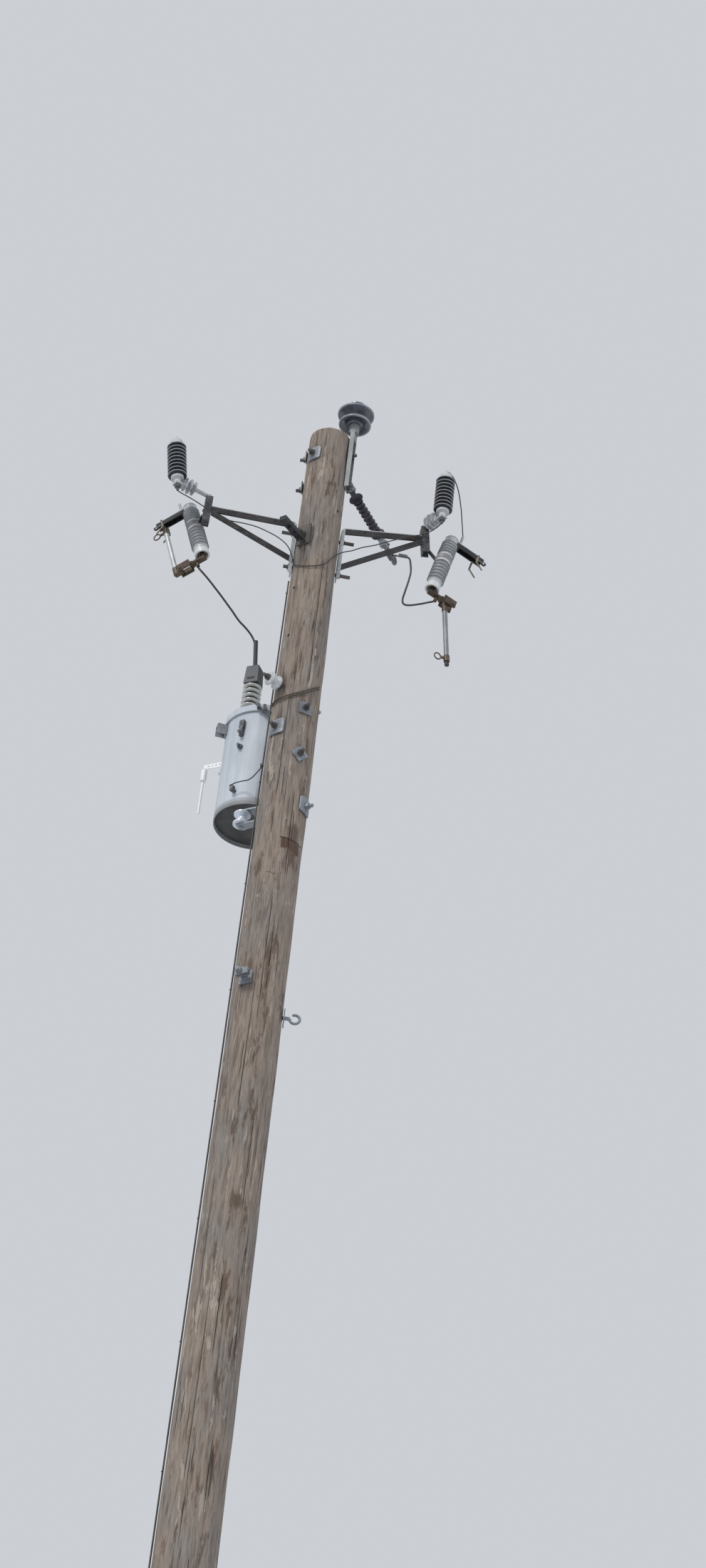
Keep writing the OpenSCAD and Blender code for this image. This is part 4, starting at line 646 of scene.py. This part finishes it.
def weathered_wood():
    """Old pine: silvered and streaked along its grain, dark in its checks, brown where flakes came off."""
    finish = Finish("weathered_pine", (0.16, 0.14, 0.13), 0.88)
    height = finish.axis("Z")
    grain = finish.noise(70.0, detail=7.0, roughness=0.62, stretch=(1.0, 1.0, 0.10))
    fibres = finish.noise(260.0, detail=3.0, stretch=(1.0, 1.0, 0.05), shift=(5.0, 2.0, 0.0))
    bands = finish.noise(7.0, detail=4.0, stretch=(1.0, 1.0, 0.35), shift=(1.0, 7.0, 2.0))
    flakes = finish.noise(30.0, detail=6.0, roughness=0.65, stretch=(1.0, 1.0, 0.16), shift=(8.0, 3.0, 5.0))
    smudges = finish.noise(22.0, detail=7.0, roughness=0.68, stretch=(1.0, 1.0, 0.20), shift=(2.0, 6.0, 9.0))
    tone = finish.mix(bands.above(0.38, 0.60), (0.190, 0.168, 0.152), (0.235, 0.188, 0.152))
    tone = finish.mix((1 - grain.above(0.34, 0.56)) * 0.60, tone, (0.088, 0.062, 0.046))
    tone = finish.mix(fibres.above(0.48, 0.64) * 0.35, tone, (0.32, 0.285, 0.250))
    tone = finish.mix((1 - fibres.above(0.34, 0.44)) * 0.45, tone, (0.090, 0.070, 0.058))
    tone = finish.mix(smudges.above(0.555, 0.63) * 0.80, tone, (0.082, 0.052, 0.036))
    tone = finish.mix(flakes.above(0.585, 0.625) * 0.80, tone, (0.335, 0.290, 0.245))
    tone = finish.mix((1 - flakes.above(0.345, 0.385)) * 0.65, tone, (0.128, 0.076, 0.048))
    checks = finish.noise(95.0, detail=2.0, roughness=0.4, stretch=(1.0, 1.0, 0.035), shift=(3.0, 9.0, 4.0))
    fine_checks = 1 - checks.above(0.285, 0.320)
    tone = finish.mix(fine_checks * 0.8, tone, (0.020, 0.016, 0.014))
    damp = (1 - height.above(0.10, 0.75)) * 0.55
    tone = finish.mix(damp, tone, (0.060, 0.055, 0.045))
    side = finish.along(STAIN_AT, STAIN_SIDE)
    rise = finish.along(STAIN_AT, UP)
    ragged = (flakes - 0.5) * 0.16
    across, upward = side + ragged, rise + ragged
    stain = across.within(-0.050, 0.052, 0.006) * upward.within(-STAIN_HALF, STAIN_HALF, 0.004)
    soak = across.within(-0.022, 0.030, 0.012) * upward.within(-0.110, 0.100, 0.020)
    tone = finish.mix((stain * 0.9).maximum(soak * 0.7), tone, (0.070, 0.036, 0.022))
    line = (rise + ragged * 0.1).within(STAIN_HALF - 0.003, STAIN_HALF + 0.003, 0.0015)
    edge = side.within(-0.052, 0.058, 0.003) * line
    tone = finish.mix(edge * 0.95, tone, (0.012, 0.009, 0.008))
    for place, half, slope in CROSS_CRACKS:
        drop = finish.along(place, (slope * 0.3, 0.0, 1.0)) + (flakes - 0.5) * 0.02
        split = drop.within(-0.0012, 0.0012, 0.0008) * finish.near(place, half, 0.008)
        tone = finish.mix(split * 0.9, tone, (0.015, 0.012, 0.010))
    for place in BOLT_MOUTHS:
        run = finish.near(place, 0.050, 0.030) * 0.35
        tone = finish.mix(run, tone, (0.060, 0.048, 0.040))
    holes = 0.0
    for azimuth, drop in OLD_HOLES:
        spot = polar(azimuth, pole_radius(POLE_H - drop), POLE_H - drop)
        holes = finish.near(spot, OLD_HOLE_R, 0.0012) + holes
    tone = finish.mix(holes, tone, (0.006, 0.005, 0.005))
    crack = finish.node("ShaderNodeAttribute", {"attribute_name": "crack"}, {}, "Fac")
    tone = finish.mix(crack.above(0.15, 0.75) * 0.94, tone, (0.012, 0.010, 0.009))
    rings = finish.maths("SINE", finish.around((0.004, -0.003, 0.0), UP) * 2400)
    sawn = height.above(POLE_H - 0.0012, POLE_H - 0.0006)
    finish.set("Base Color", finish.mix(sawn * (0.35 + rings * 0.25), tone, (0.10, 0.075, 0.055)))
    finish.set("Roughness", 0.80 + grain * 0.15)
    relief = grain * 0.9 + fibres * 0.5 + flakes.above(0.56, 0.62) * 0.5 - fine_checks * 1.4 - holes * 3
    finish.bump(relief, 0.75, 0.0030)
    return finish.material


def bolt_zinc(name, rust, zones=()):
    """Dull galvanised hardware."""
    return metal(name, ZINC, PALE_ZINC, 0.5, 0.4, rust, zones)


def bolted_washer(name, azimuth, height, face, rust):
    """A zinc washer on the pole, with the darker nut and bolt end that stand out of its face."""
    out = polar(azimuth, 1.0, 0.0)
    seat = out * (pole_radius(height) + face) + UP * height

    def nut(finish):
        return finish.along(seat, out).above(-0.0003, 0.0003)
    return bolt_zinc(name, rust, [(nut, DARK_BOLT, WORN_BOLT)])


HANGER_AZ = 292.5
HANGER_MIDDLE = 9.9


def hanger_finish():
    """The hanger bolts' square washers and their dark nuts, seen on the pole's near face."""
    out = polar(HANGER_AZ, 1.0, 0.0)

    def nut(finish):
        return finish.along(out * pole_radius(HANGER_MIDDLE), out).above(0.0075, 0.0085)
    return bolt_zinc("hanger_bolt_zinc", 0.45, [(nut, DARK_BOLT, WORN_BOLT)])


DEADEND_DIR = polar(61, 1.0, 0.0)
DEADEND_SHEDS = (0.062, 0.400)


def deadend_rubber():
    """Dark silicone sheds between zinc end fittings, measured from the piece's own low corner."""
    low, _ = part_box("deadend_insulator")

    def fittings(finish):
        return 1 - finish.along(low, DEADEND_DIR).within(*DEADEND_SHEDS, 0.001)
    return rubber("deadend_rubber", (0.022, 0.020, 0.029), (0.060, 0.056, 0.074),
                  [(fittings, ZINC, PALE_ZINC)])


# Heights and radius of the painted highlights on the rims of the two skirts.
PIN_RIM_HIGHLIGHTS = ((0.004, 0.0145, 0.066), (0.064, 0.0745, 0.076))


def pin_glaze():
    """Dark blue-grey glaze, with a painted highlight on the rims of both skirts."""
    # Painted highlight on one skirt's rim.
    def rim_highlight(finish, low, high, radius):
        outer = finish.around(PIN_AXIS_AT, UP).above(radius, radius + 0.002)
        return finish.along(PIN_AXIS_AT, UP).within(low, high, 0.001) * outer

    def rim_highlights(finish):
        lower, upper = PIN_RIM_HIGHLIGHTS
        return rim_highlight(finish, *lower) + rim_highlight(finish, *upper)
    return glaze("pin_glaze", GREY_GLAZE, (0.092, 0.103, 0.128), 0.20,
                 [(rim_highlights, (0.17, 0.19, 0.22), (0.29, 0.31, 0.35))])


def strap_finish():
    """A pale strap, painted lighter still as painted light against the shade on it."""
    # Painted light: the strap's colour is raised to make up for the shade on it.
    return metal("pale_strap_painted_light", (0.66, 0.67, 0.67), (0.80, 0.80, 0.80), 0.55, 0.05, 0.05)


def standoff_finish(name):
    """Chalky light grey polymer."""
    return rubber(name, (0.34, 0.35, 0.37), (0.50, 0.51, 0.53))


def hinge_bronze(name):
    """Dark tarnished bronze."""
    return metal(name, BRONZE, (0.115, 0.082, 0.056), 0.5, 0.5, 0.2)


FINISHES = {
    "wood_pole": weathered_wood(),
    "ridge_pin": metal("ridge_zinc", (0.16, 0.172, 0.172), (0.29, 0.305, 0.305), 0.6, 0.25, 0.15),
    "pin_insulator": pin_glaze(),
    "ridge_bolts": metal("ridge_bolt_rust", DARK_BOLT, WORN_BOLT, 0.5, 0.4, 0.4),
    "deadend_insulator": deadend_rubber(),
    "deadend_clamp": metal("clamp_aluminium", (0.060, 0.060, 0.066), (0.18, 0.18, 0.19), 0.5, 0.5, 0.1),
    "guy_plate": metal("guy_plate_steel", (0.050, 0.046, 0.044), (0.12, 0.11, 0.10), 0.6, 0.3, 0.5),
    "guy_clamp": metal("guy_clamp_black", (0.012, 0.012, 0.015), (0.042, 0.044, 0.054), 0.5, 0.2, 0.15),
    "bracket_bolts": metal("bracket_bolt_rust", DARK_BOLT, WORN_BOLT, 0.55, 0.3, 0.75),
    "neutral_bolt": bolted_washer("neutral_bolt_zinc", 220, 10.135, 0.0075, 0.6),
    "hanger_bolts": hanger_finish(),
    "ribbed_plate_bolt": bolted_washer("plate_zinc", 226, 9.904, 0.0095, 0.4),
    "service_clevis": bolt_zinc("clevis_zinc", 0.3),
    "cable_clamps": bolt_zinc("clamp_zinc", 0.3),
    "deadend_eye_bolt": bolted_washer("eye_bolt_zinc", 226, 11.475, 0.0095, 0.4),
    "hv_bushing": bushing_glaze(),
    "lv_bushings": glaze("low_bushing_glaze", (0.46, 0.47, 0.46), (0.60, 0.61, 0.60)),
    "neutral_spool": glaze("neutral_glaze", (0.40, 0.42, 0.44), (0.56, 0.58, 0.60)),
    "service_spool": glaze("service_glaze", (0.40, 0.45, 0.52), (0.56, 0.61, 0.68)),
    "bushing_guard": guard_plastic(),
    "side_strap": strap_finish(),
    "left_mount_arm": mount_arm_steel("left"),
    "right_mount_arm": mount_arm_steel("right"),
    "tank_fittings": metal("fitting_steel", (0.045, 0.047, 0.052), (0.20, 0.21, 0.23), 0.5, 0.3, 0.35),
    # Painted shade: the lugs' enamel is painted much darker than the tank's for the shade on them, with rust
    # patches.
    "lifting_lugs": metal("lug_enamel", (0.150, 0.160, 0.175), (0.30, 0.32, 0.35), 0.5, 0.1, 0.35),
    "tank_bottom": tank_underside_painted_shade(),
}
ENAMEL = tank_enamel("tank_enamel")
for name in ("tank", "lid", "lid_band", "tank_hangers"):
    FINISHES[name] = ENAMEL
for side in ("right", "left"):
    FINISHES[side + "_arrester"] = arrester_finish(side)
    FINISHES[side + "_cutout_insulator"] = cutout_glaze(side)
    FINISHES[side + "_upper_contact"] = contact_steel(side)
    FINISHES[side + "_fuse_tube"] = tube_finish(side)
    FINISHES[side + "_bracket"] = bracket_steel(side)
    FINISHES[side + "_end_channel"] = metal(side + "_channel_steel", BLACK_STEEL, (0.12, 0.12, 0.13),
                                            0.55, 0.35, 0.3)
    FINISHES[side + "_standoff"] = standoff_finish(side + "_standoff_polymer")
    FINISHES[side + "_lower_hinge"] = hinge_bronze(side + "_hinge_bronze")
WIRE = wire_finish()
for lead in leads.values():
    lead.data.materials.append(WIRE)
FINISHES["ground_wire"] = metal("ground_copper", (0.045, 0.040, 0.036), (0.105, 0.088, 0.070), 0.55, 0.5, 0.1)
for row in frame["record"]["subparts"]:
    node = nodes.get(row["node"])
    if node is not None and row["node"] in FINISHES:
        node.data.materials.clear()
        node.data.materials.append(FINISHES[row["node"]])

CRACK_LINES = 30
CLOSE_ROW = 0.011
FAR_ROW = 0.045
CLOSE_FROM = 6.0
CRACK_SIDE = 0.020
PLAIN_COLUMNS = 36
WAVES = 7
WAVE_DEEP = (0.0002, 0.0005)
RIDGE_DEEP = 0.0006
DARK_FROM = 0.004


def grain_columns(rng):
    """Azimuths of the pole's columns: three close ones for each line of cracks, and plain ones between."""
    lines = np.sort((np.arange(CRACK_LINES) + rng.uniform(0.2, 0.8, CRACK_LINES)) * 2 * np.pi / CRACK_LINES)
    plain = (np.arange(PLAIN_COLUMNS) + 0.5) * 2 * np.pi / PLAIN_COLUMNS
    apart = np.abs(np.angle(np.exp(1j * (plain[:, None] - lines[None, :])))).min(axis=1)
    columns = [(a, -1) for a in plain[apart > 2.2 * CRACK_SIDE]]
    for index, line in enumerate(lines):
        columns += [(line - CRACK_SIDE, -1), (line, index), (line + CRACK_SIDE, -1)]
    columns.sort()
    return np.array([a for a, _ in columns]), np.array([k for _, k in columns])


def crack_depths(rows, rng):
    """How deep each line of cracks is at each height: several splits along it, each fading to its ends."""
    depth = np.zeros((len(rows), CRACK_LINES))
    for index in range(CRACK_LINES):
        for _ in range(rng.integers(5, 10)):
            middle = rng.uniform(0.2, POLE_H)
            half = rng.uniform(0.06, 0.34)
            deep = rng.uniform(0.002, 0.010)
            shape = np.clip(1 - ((rows - middle) / half) ** 2, 0, 1) ** 0.5
            flutter = 0.8 + 0.2 * np.sin(rows * rng.uniform(20, 60))
            depth[:, index] = np.maximum(depth[:, index], deep * shape * flutter)
    return depth


def wooden_pole():
    """The pole with its drying cracks, uneven faces and worn top, in a fine mesh inside the plain solid."""
    rng = np.random.default_rng(11)
    angles, line_of = grain_columns(rng)
    shoulder = POLE_H - POLE_BEVEL
    rows = np.concatenate([np.arange(0.0, CLOSE_FROM, FAR_ROW),
                           np.arange(CLOSE_FROM, shoulder, CLOSE_ROW), [shoulder]])
    count = len(angles)
    deep = np.zeros((len(rows), count))
    cracks = crack_depths(rows, rng)
    on_line = line_of >= 0
    deep[:, on_line] = cracks[:, line_of[on_line]]
    high, round_it = rows[:, None], angles[None, :]
    waves = sum(rng.uniform(*WAVE_DEEP) * (1 + np.sin(high * rng.uniform(1.5, 22)
                                                      + round_it * rng.integers(2, 14)
                                                      + rng.uniform(0, 6)))
                for _ in range(WAVES))
    ridge = RIDGE_DEEP * (1 + np.sin(rng.uniform(0, 6, count)[None, :]
                                     + high * rng.uniform(2, 9, count)[None, :]))
    radius = pole_radius(high) - deep - waves - ridge
    twist = 0.035 * np.sin(rows * 0.9) + 0.012 * np.sin(rows * 3.7 + 1.0)
    turn = round_it + twist[:, None]
    level = np.broadcast_to(high, radius.shape)
    corners = np.stack([radius * np.cos(turn), radius * np.sin(turn), level], axis=-1)
    darkness = np.clip(deep / DARK_FROM, 0, 1)
    edge = np.clip(radius[-1] - POLE_BEVEL - 0.004 * rng.uniform(0, 1, count), 0.02, None)
    across, deeper = edge * np.cos(turn[-1]), edge * np.sin(turn[-1])
    top = np.stack([across, deeper, np.full(count, POLE_H - 0.002)], axis=-1)
    crown = np.stack([0.5 * across, 0.5 * deeper, np.full(count, POLE_H)], axis=-1)
    points = np.concatenate([corners.reshape(-1, 3), top, crown, [[0, 0, POLE_H], [0, 0, 0]]])
    crack = np.concatenate([darkness.reshape(-1), 0.6 * darkness[-1], 0.2 * darkness[-1], [0.0, 0.0]])
    levels = len(rows) + 2
    faces = []
    for low in range(0, (levels - 1) * count, count):
        for k in range(count):
            beside = (k + 1) % count
            faces.append((low + k, low + beside, low + count + beside, low + count + k))
    last = (levels - 1) * count
    faces += [(last + k, last + (k + 1) % count, levels * count) for k in range(count)]
    faces += [((k + 1) % count, k, levels * count + 1) for k in range(count)]
    mesh = bpy.data.meshes.new("old_pine_pole")
    mesh.from_pydata(points.tolist(), [], faces)
    mesh.attributes.new("crack", "FLOAT", "POINT").data.foreach_set("value", crack)
    mesh.shade_smooth()
    mesh.materials.append(FINISHES["wood_pole"])
    pole = bpy.data.objects.new("old_pine_pole", mesh)
    bpy.context.scene.collection.objects.link(pole)
    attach(pole, "structure")
    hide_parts("wood_pole")
    return pole


wooden_pole()


class Repeat:
    """A node tree that sets copies of one small shape in a row or a ring, and ends in a plain mesh."""

    def __init__(self, name, values, material):
        self.name = name
        self.values = values
        self.material = material
        self.tree = bpy.data.node_groups.new(name, "GeometryNodeTree")
        self.tree.interface.new_socket("Geometry", in_out="OUTPUT", socket_type="NodeSocketGeometry")
        for key, value in values.items():
            kind = "NodeSocketInt" if isinstance(value, int) else "NodeSocketFloat"
            self.tree.interface.new_socket(key, in_out="INPUT", socket_type=kind)
        self.entry = self.tree.nodes.new("NodeGroupInput")
        self.end = self.tree.nodes.new("NodeGroupOutput")

    def node(self, kind, settings, inputs, output=0):
        made = self.tree.nodes.new(kind)
        for key, value in settings.items():
            setattr(made, key, value)
        for key, value in inputs.items():
            if isinstance(value, str):
                value = self.entry.outputs[value]
            if isinstance(value, bpy.types.NodeSocket):
                self.tree.links.new(value, made.inputs[key])
            else:
                made.inputs[key].default_value = value
        return made.outputs[output]

    def copies(self, points, shape, rotation):
        """The shape at each point, realized, with its material."""
        spread = self.node("GeometryNodeInstanceOnPoints", {},
                           {"Points": points, "Instance": shape, "Rotation": rotation})
        plain = self.node("GeometryNodeRealizeInstances", {}, {"Geometry": spread})
        dressed = self.node("GeometryNodeSetMaterial", {}, {"Geometry": plain, "Material": self.material})
        self.tree.links.new(dressed, self.end.inputs[0])

    def mesh(self):
        holder = bpy.data.objects.new(self.name, bpy.data.meshes.new(self.name + "_seed"))
        bpy.context.scene.collection.objects.link(holder)
        modifier = holder.modifiers.new("repeat", "NODES")
        modifier.node_group = self.tree
        for item in self.tree.interface.items_tree:
            if item.in_out == "INPUT":
                modifier[item.identifier] = self.values[item.name]
        graph = bpy.context.evaluated_depsgraph_get()
        mesh = bpy.data.meshes.new_from_object(holder.evaluated_get(graph))
        holder.modifiers.remove(modifier)
        holder.data = mesh
        mesh.name = self.name
        return holder


RIB_SEAT = 0.0058


def washer_ribs(name, azimuth, height, material):
    """Radial ribs on a curved washer's face, wrapped on the pole with it."""
    ribs = Repeat(name, {"Count": 12, "Ring radius": 0.0235, "Rib length": 0.019, "Rib radius": 0.0017},
                  material)
    ring = ribs.node("GeometryNodeMeshCircle", {}, {"Vertices": "Count", "Radius": "Ring radius"})
    place = ribs.node("GeometryNodeInputPosition", {}, {})
    facing = ribs.node("FunctionNodeAlignRotationToVector", {"axis": "Z"}, {"Vector": place})
    rib = ribs.node("GeometryNodeMeshCylinder", {},
                    {"Vertices": 8, "Radius": "Rib radius", "Depth": "Rib length"})
    ribs.copies(ring, rib, facing)
    piece = ribs.mesh()
    seat = pole_radius(height) + RIB_SEAT
    for vertex in piece.data.vertices:
        u, v, w = vertex.co
        vertex.co = polar(azimuth + math.degrees(u / seat), seat + w, height + v)
    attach(piece, "structure")
    return piece


TANK_TOP = POLE_H - 1.495
RIBBED_WASHERS = {
    "eye_washer_ribs": (226, POLE_H - 0.180, "deadend_eye_bolt"),
    "ribbed_plate_ribs": (226, TANK_TOP - 0.256, "ribbed_plate_bolt"),
    "service_washer_ribs": (330, TANK_TOP - 0.634, "service_clevis"),
}
for name, (azimuth, height, bolt) in RIBBED_WASHERS.items():
    washer_ribs(name, azimuth, height, FINISHES[bolt])

STAPLE_TOP = 10.70
STAPLE_START = math.radians(-15)
STAPLE_SWEEP = math.radians(210)
GROUND_WIRE_OFF = 0.0039


def wire_staples():
    """Staples over the wire that runs down the pole, one every half metre or so."""
    row = Repeat("ground_wire_staples",
                 {"Count": 20, "Pitch": 0.52, "Arch radius": 0.0052, "Wire radius": 0.0012},
                 FINISHES["ridge_bolts"])
    down = row.node("ShaderNodeMath", {"operation": "MULTIPLY"}, {0: "Pitch", 1: -1.0})
    step = row.node("ShaderNodeCombineXYZ", {}, {"Z": down})
    drop = row.node("GeometryNodeMeshLine", {}, {"Count": "Count", "Offset": step})
    arch = row.node("GeometryNodeCurveArc", {}, {"Resolution": 9, "Radius": "Arch radius",
                                                 "Start Angle": STAPLE_START, "Sweep Angle": STAPLE_SWEEP})
    profile = row.node("GeometryNodeCurvePrimitiveCircle", {}, {"Resolution": 8, "Radius": "Wire radius"})
    bent = row.node("GeometryNodeCurveToMesh", {},
                    {"Curve": arch, "Profile Curve": profile, "Fill Caps": True})
    row.copies(drop, bent, (0.0, 0.0, math.radians(90)))
    piece = row.mesh()
    for vertex in piece.data.vertices:
        height = STAPLE_TOP + vertex.co.z
        vertex.co = Vector((vertex.co.x - pole_radius(height) - GROUND_WIRE_OFF, vertex.co.y, height))
    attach(piece, "structure")
    return piece


wire_staples()


FLOOR_SIZE = 300.0
SKY = (0.80, 0.83, 0.88, 1.0)
SKY_STRENGTH = 0.75
SUNS = {
    "key": (1.7, (1.0, 0.98, 0.95), 14, 52, -38),
    "fill": (0.4, (0.86, 0.92, 1.0), 40, 66, 62),
}


def floor_finish():
    """Plain and very pale, with a faint cloudiness."""
    finish = Finish("pale_floor", (0.78, 0.79, 0.80), 0.9)
    cloud = finish.noise(0.6, detail=3.0)
    finish.set("Base Color", finish.mix(cloud.above(0.3, 0.7), (0.775, 0.785, 0.795), (0.79, 0.80, 0.81)))
    return finish.material


def floor_and_light():
    """The stage: a wide floor, an even sky and two suns, each with its energy, colour and angles."""
    scene = bpy.context.scene
    scene.view_settings.view_transform = "Standard"
    world = bpy.data.worlds.new("pale_room")
    scene.world = world
    world.use_nodes = True
    background = world.node_tree.nodes["Background"]
    background.inputs["Color"].default_value = SKY
    background.inputs["Strength"].default_value = SKY_STRENGTH
    bpy.ops.mesh.primitive_plane_add(size=FLOOR_SIZE)
    floor = bpy.context.object
    floor.name = "floor"
    floor.data.materials.append(floor_finish())
    for name, (energy, colour, soft, tilt, turn) in SUNS.items():
        lamp = bpy.data.lights.new(name, "SUN")
        lamp.color = colour
        lamp.energy = energy
        lamp.angle = math.radians(soft)
        light = bpy.data.objects.new(name, lamp)
        scene.collection.objects.link(light)
        light.rotation_euler = (math.radians(tilt), 0.0, math.radians(turn))


floor_and_light()
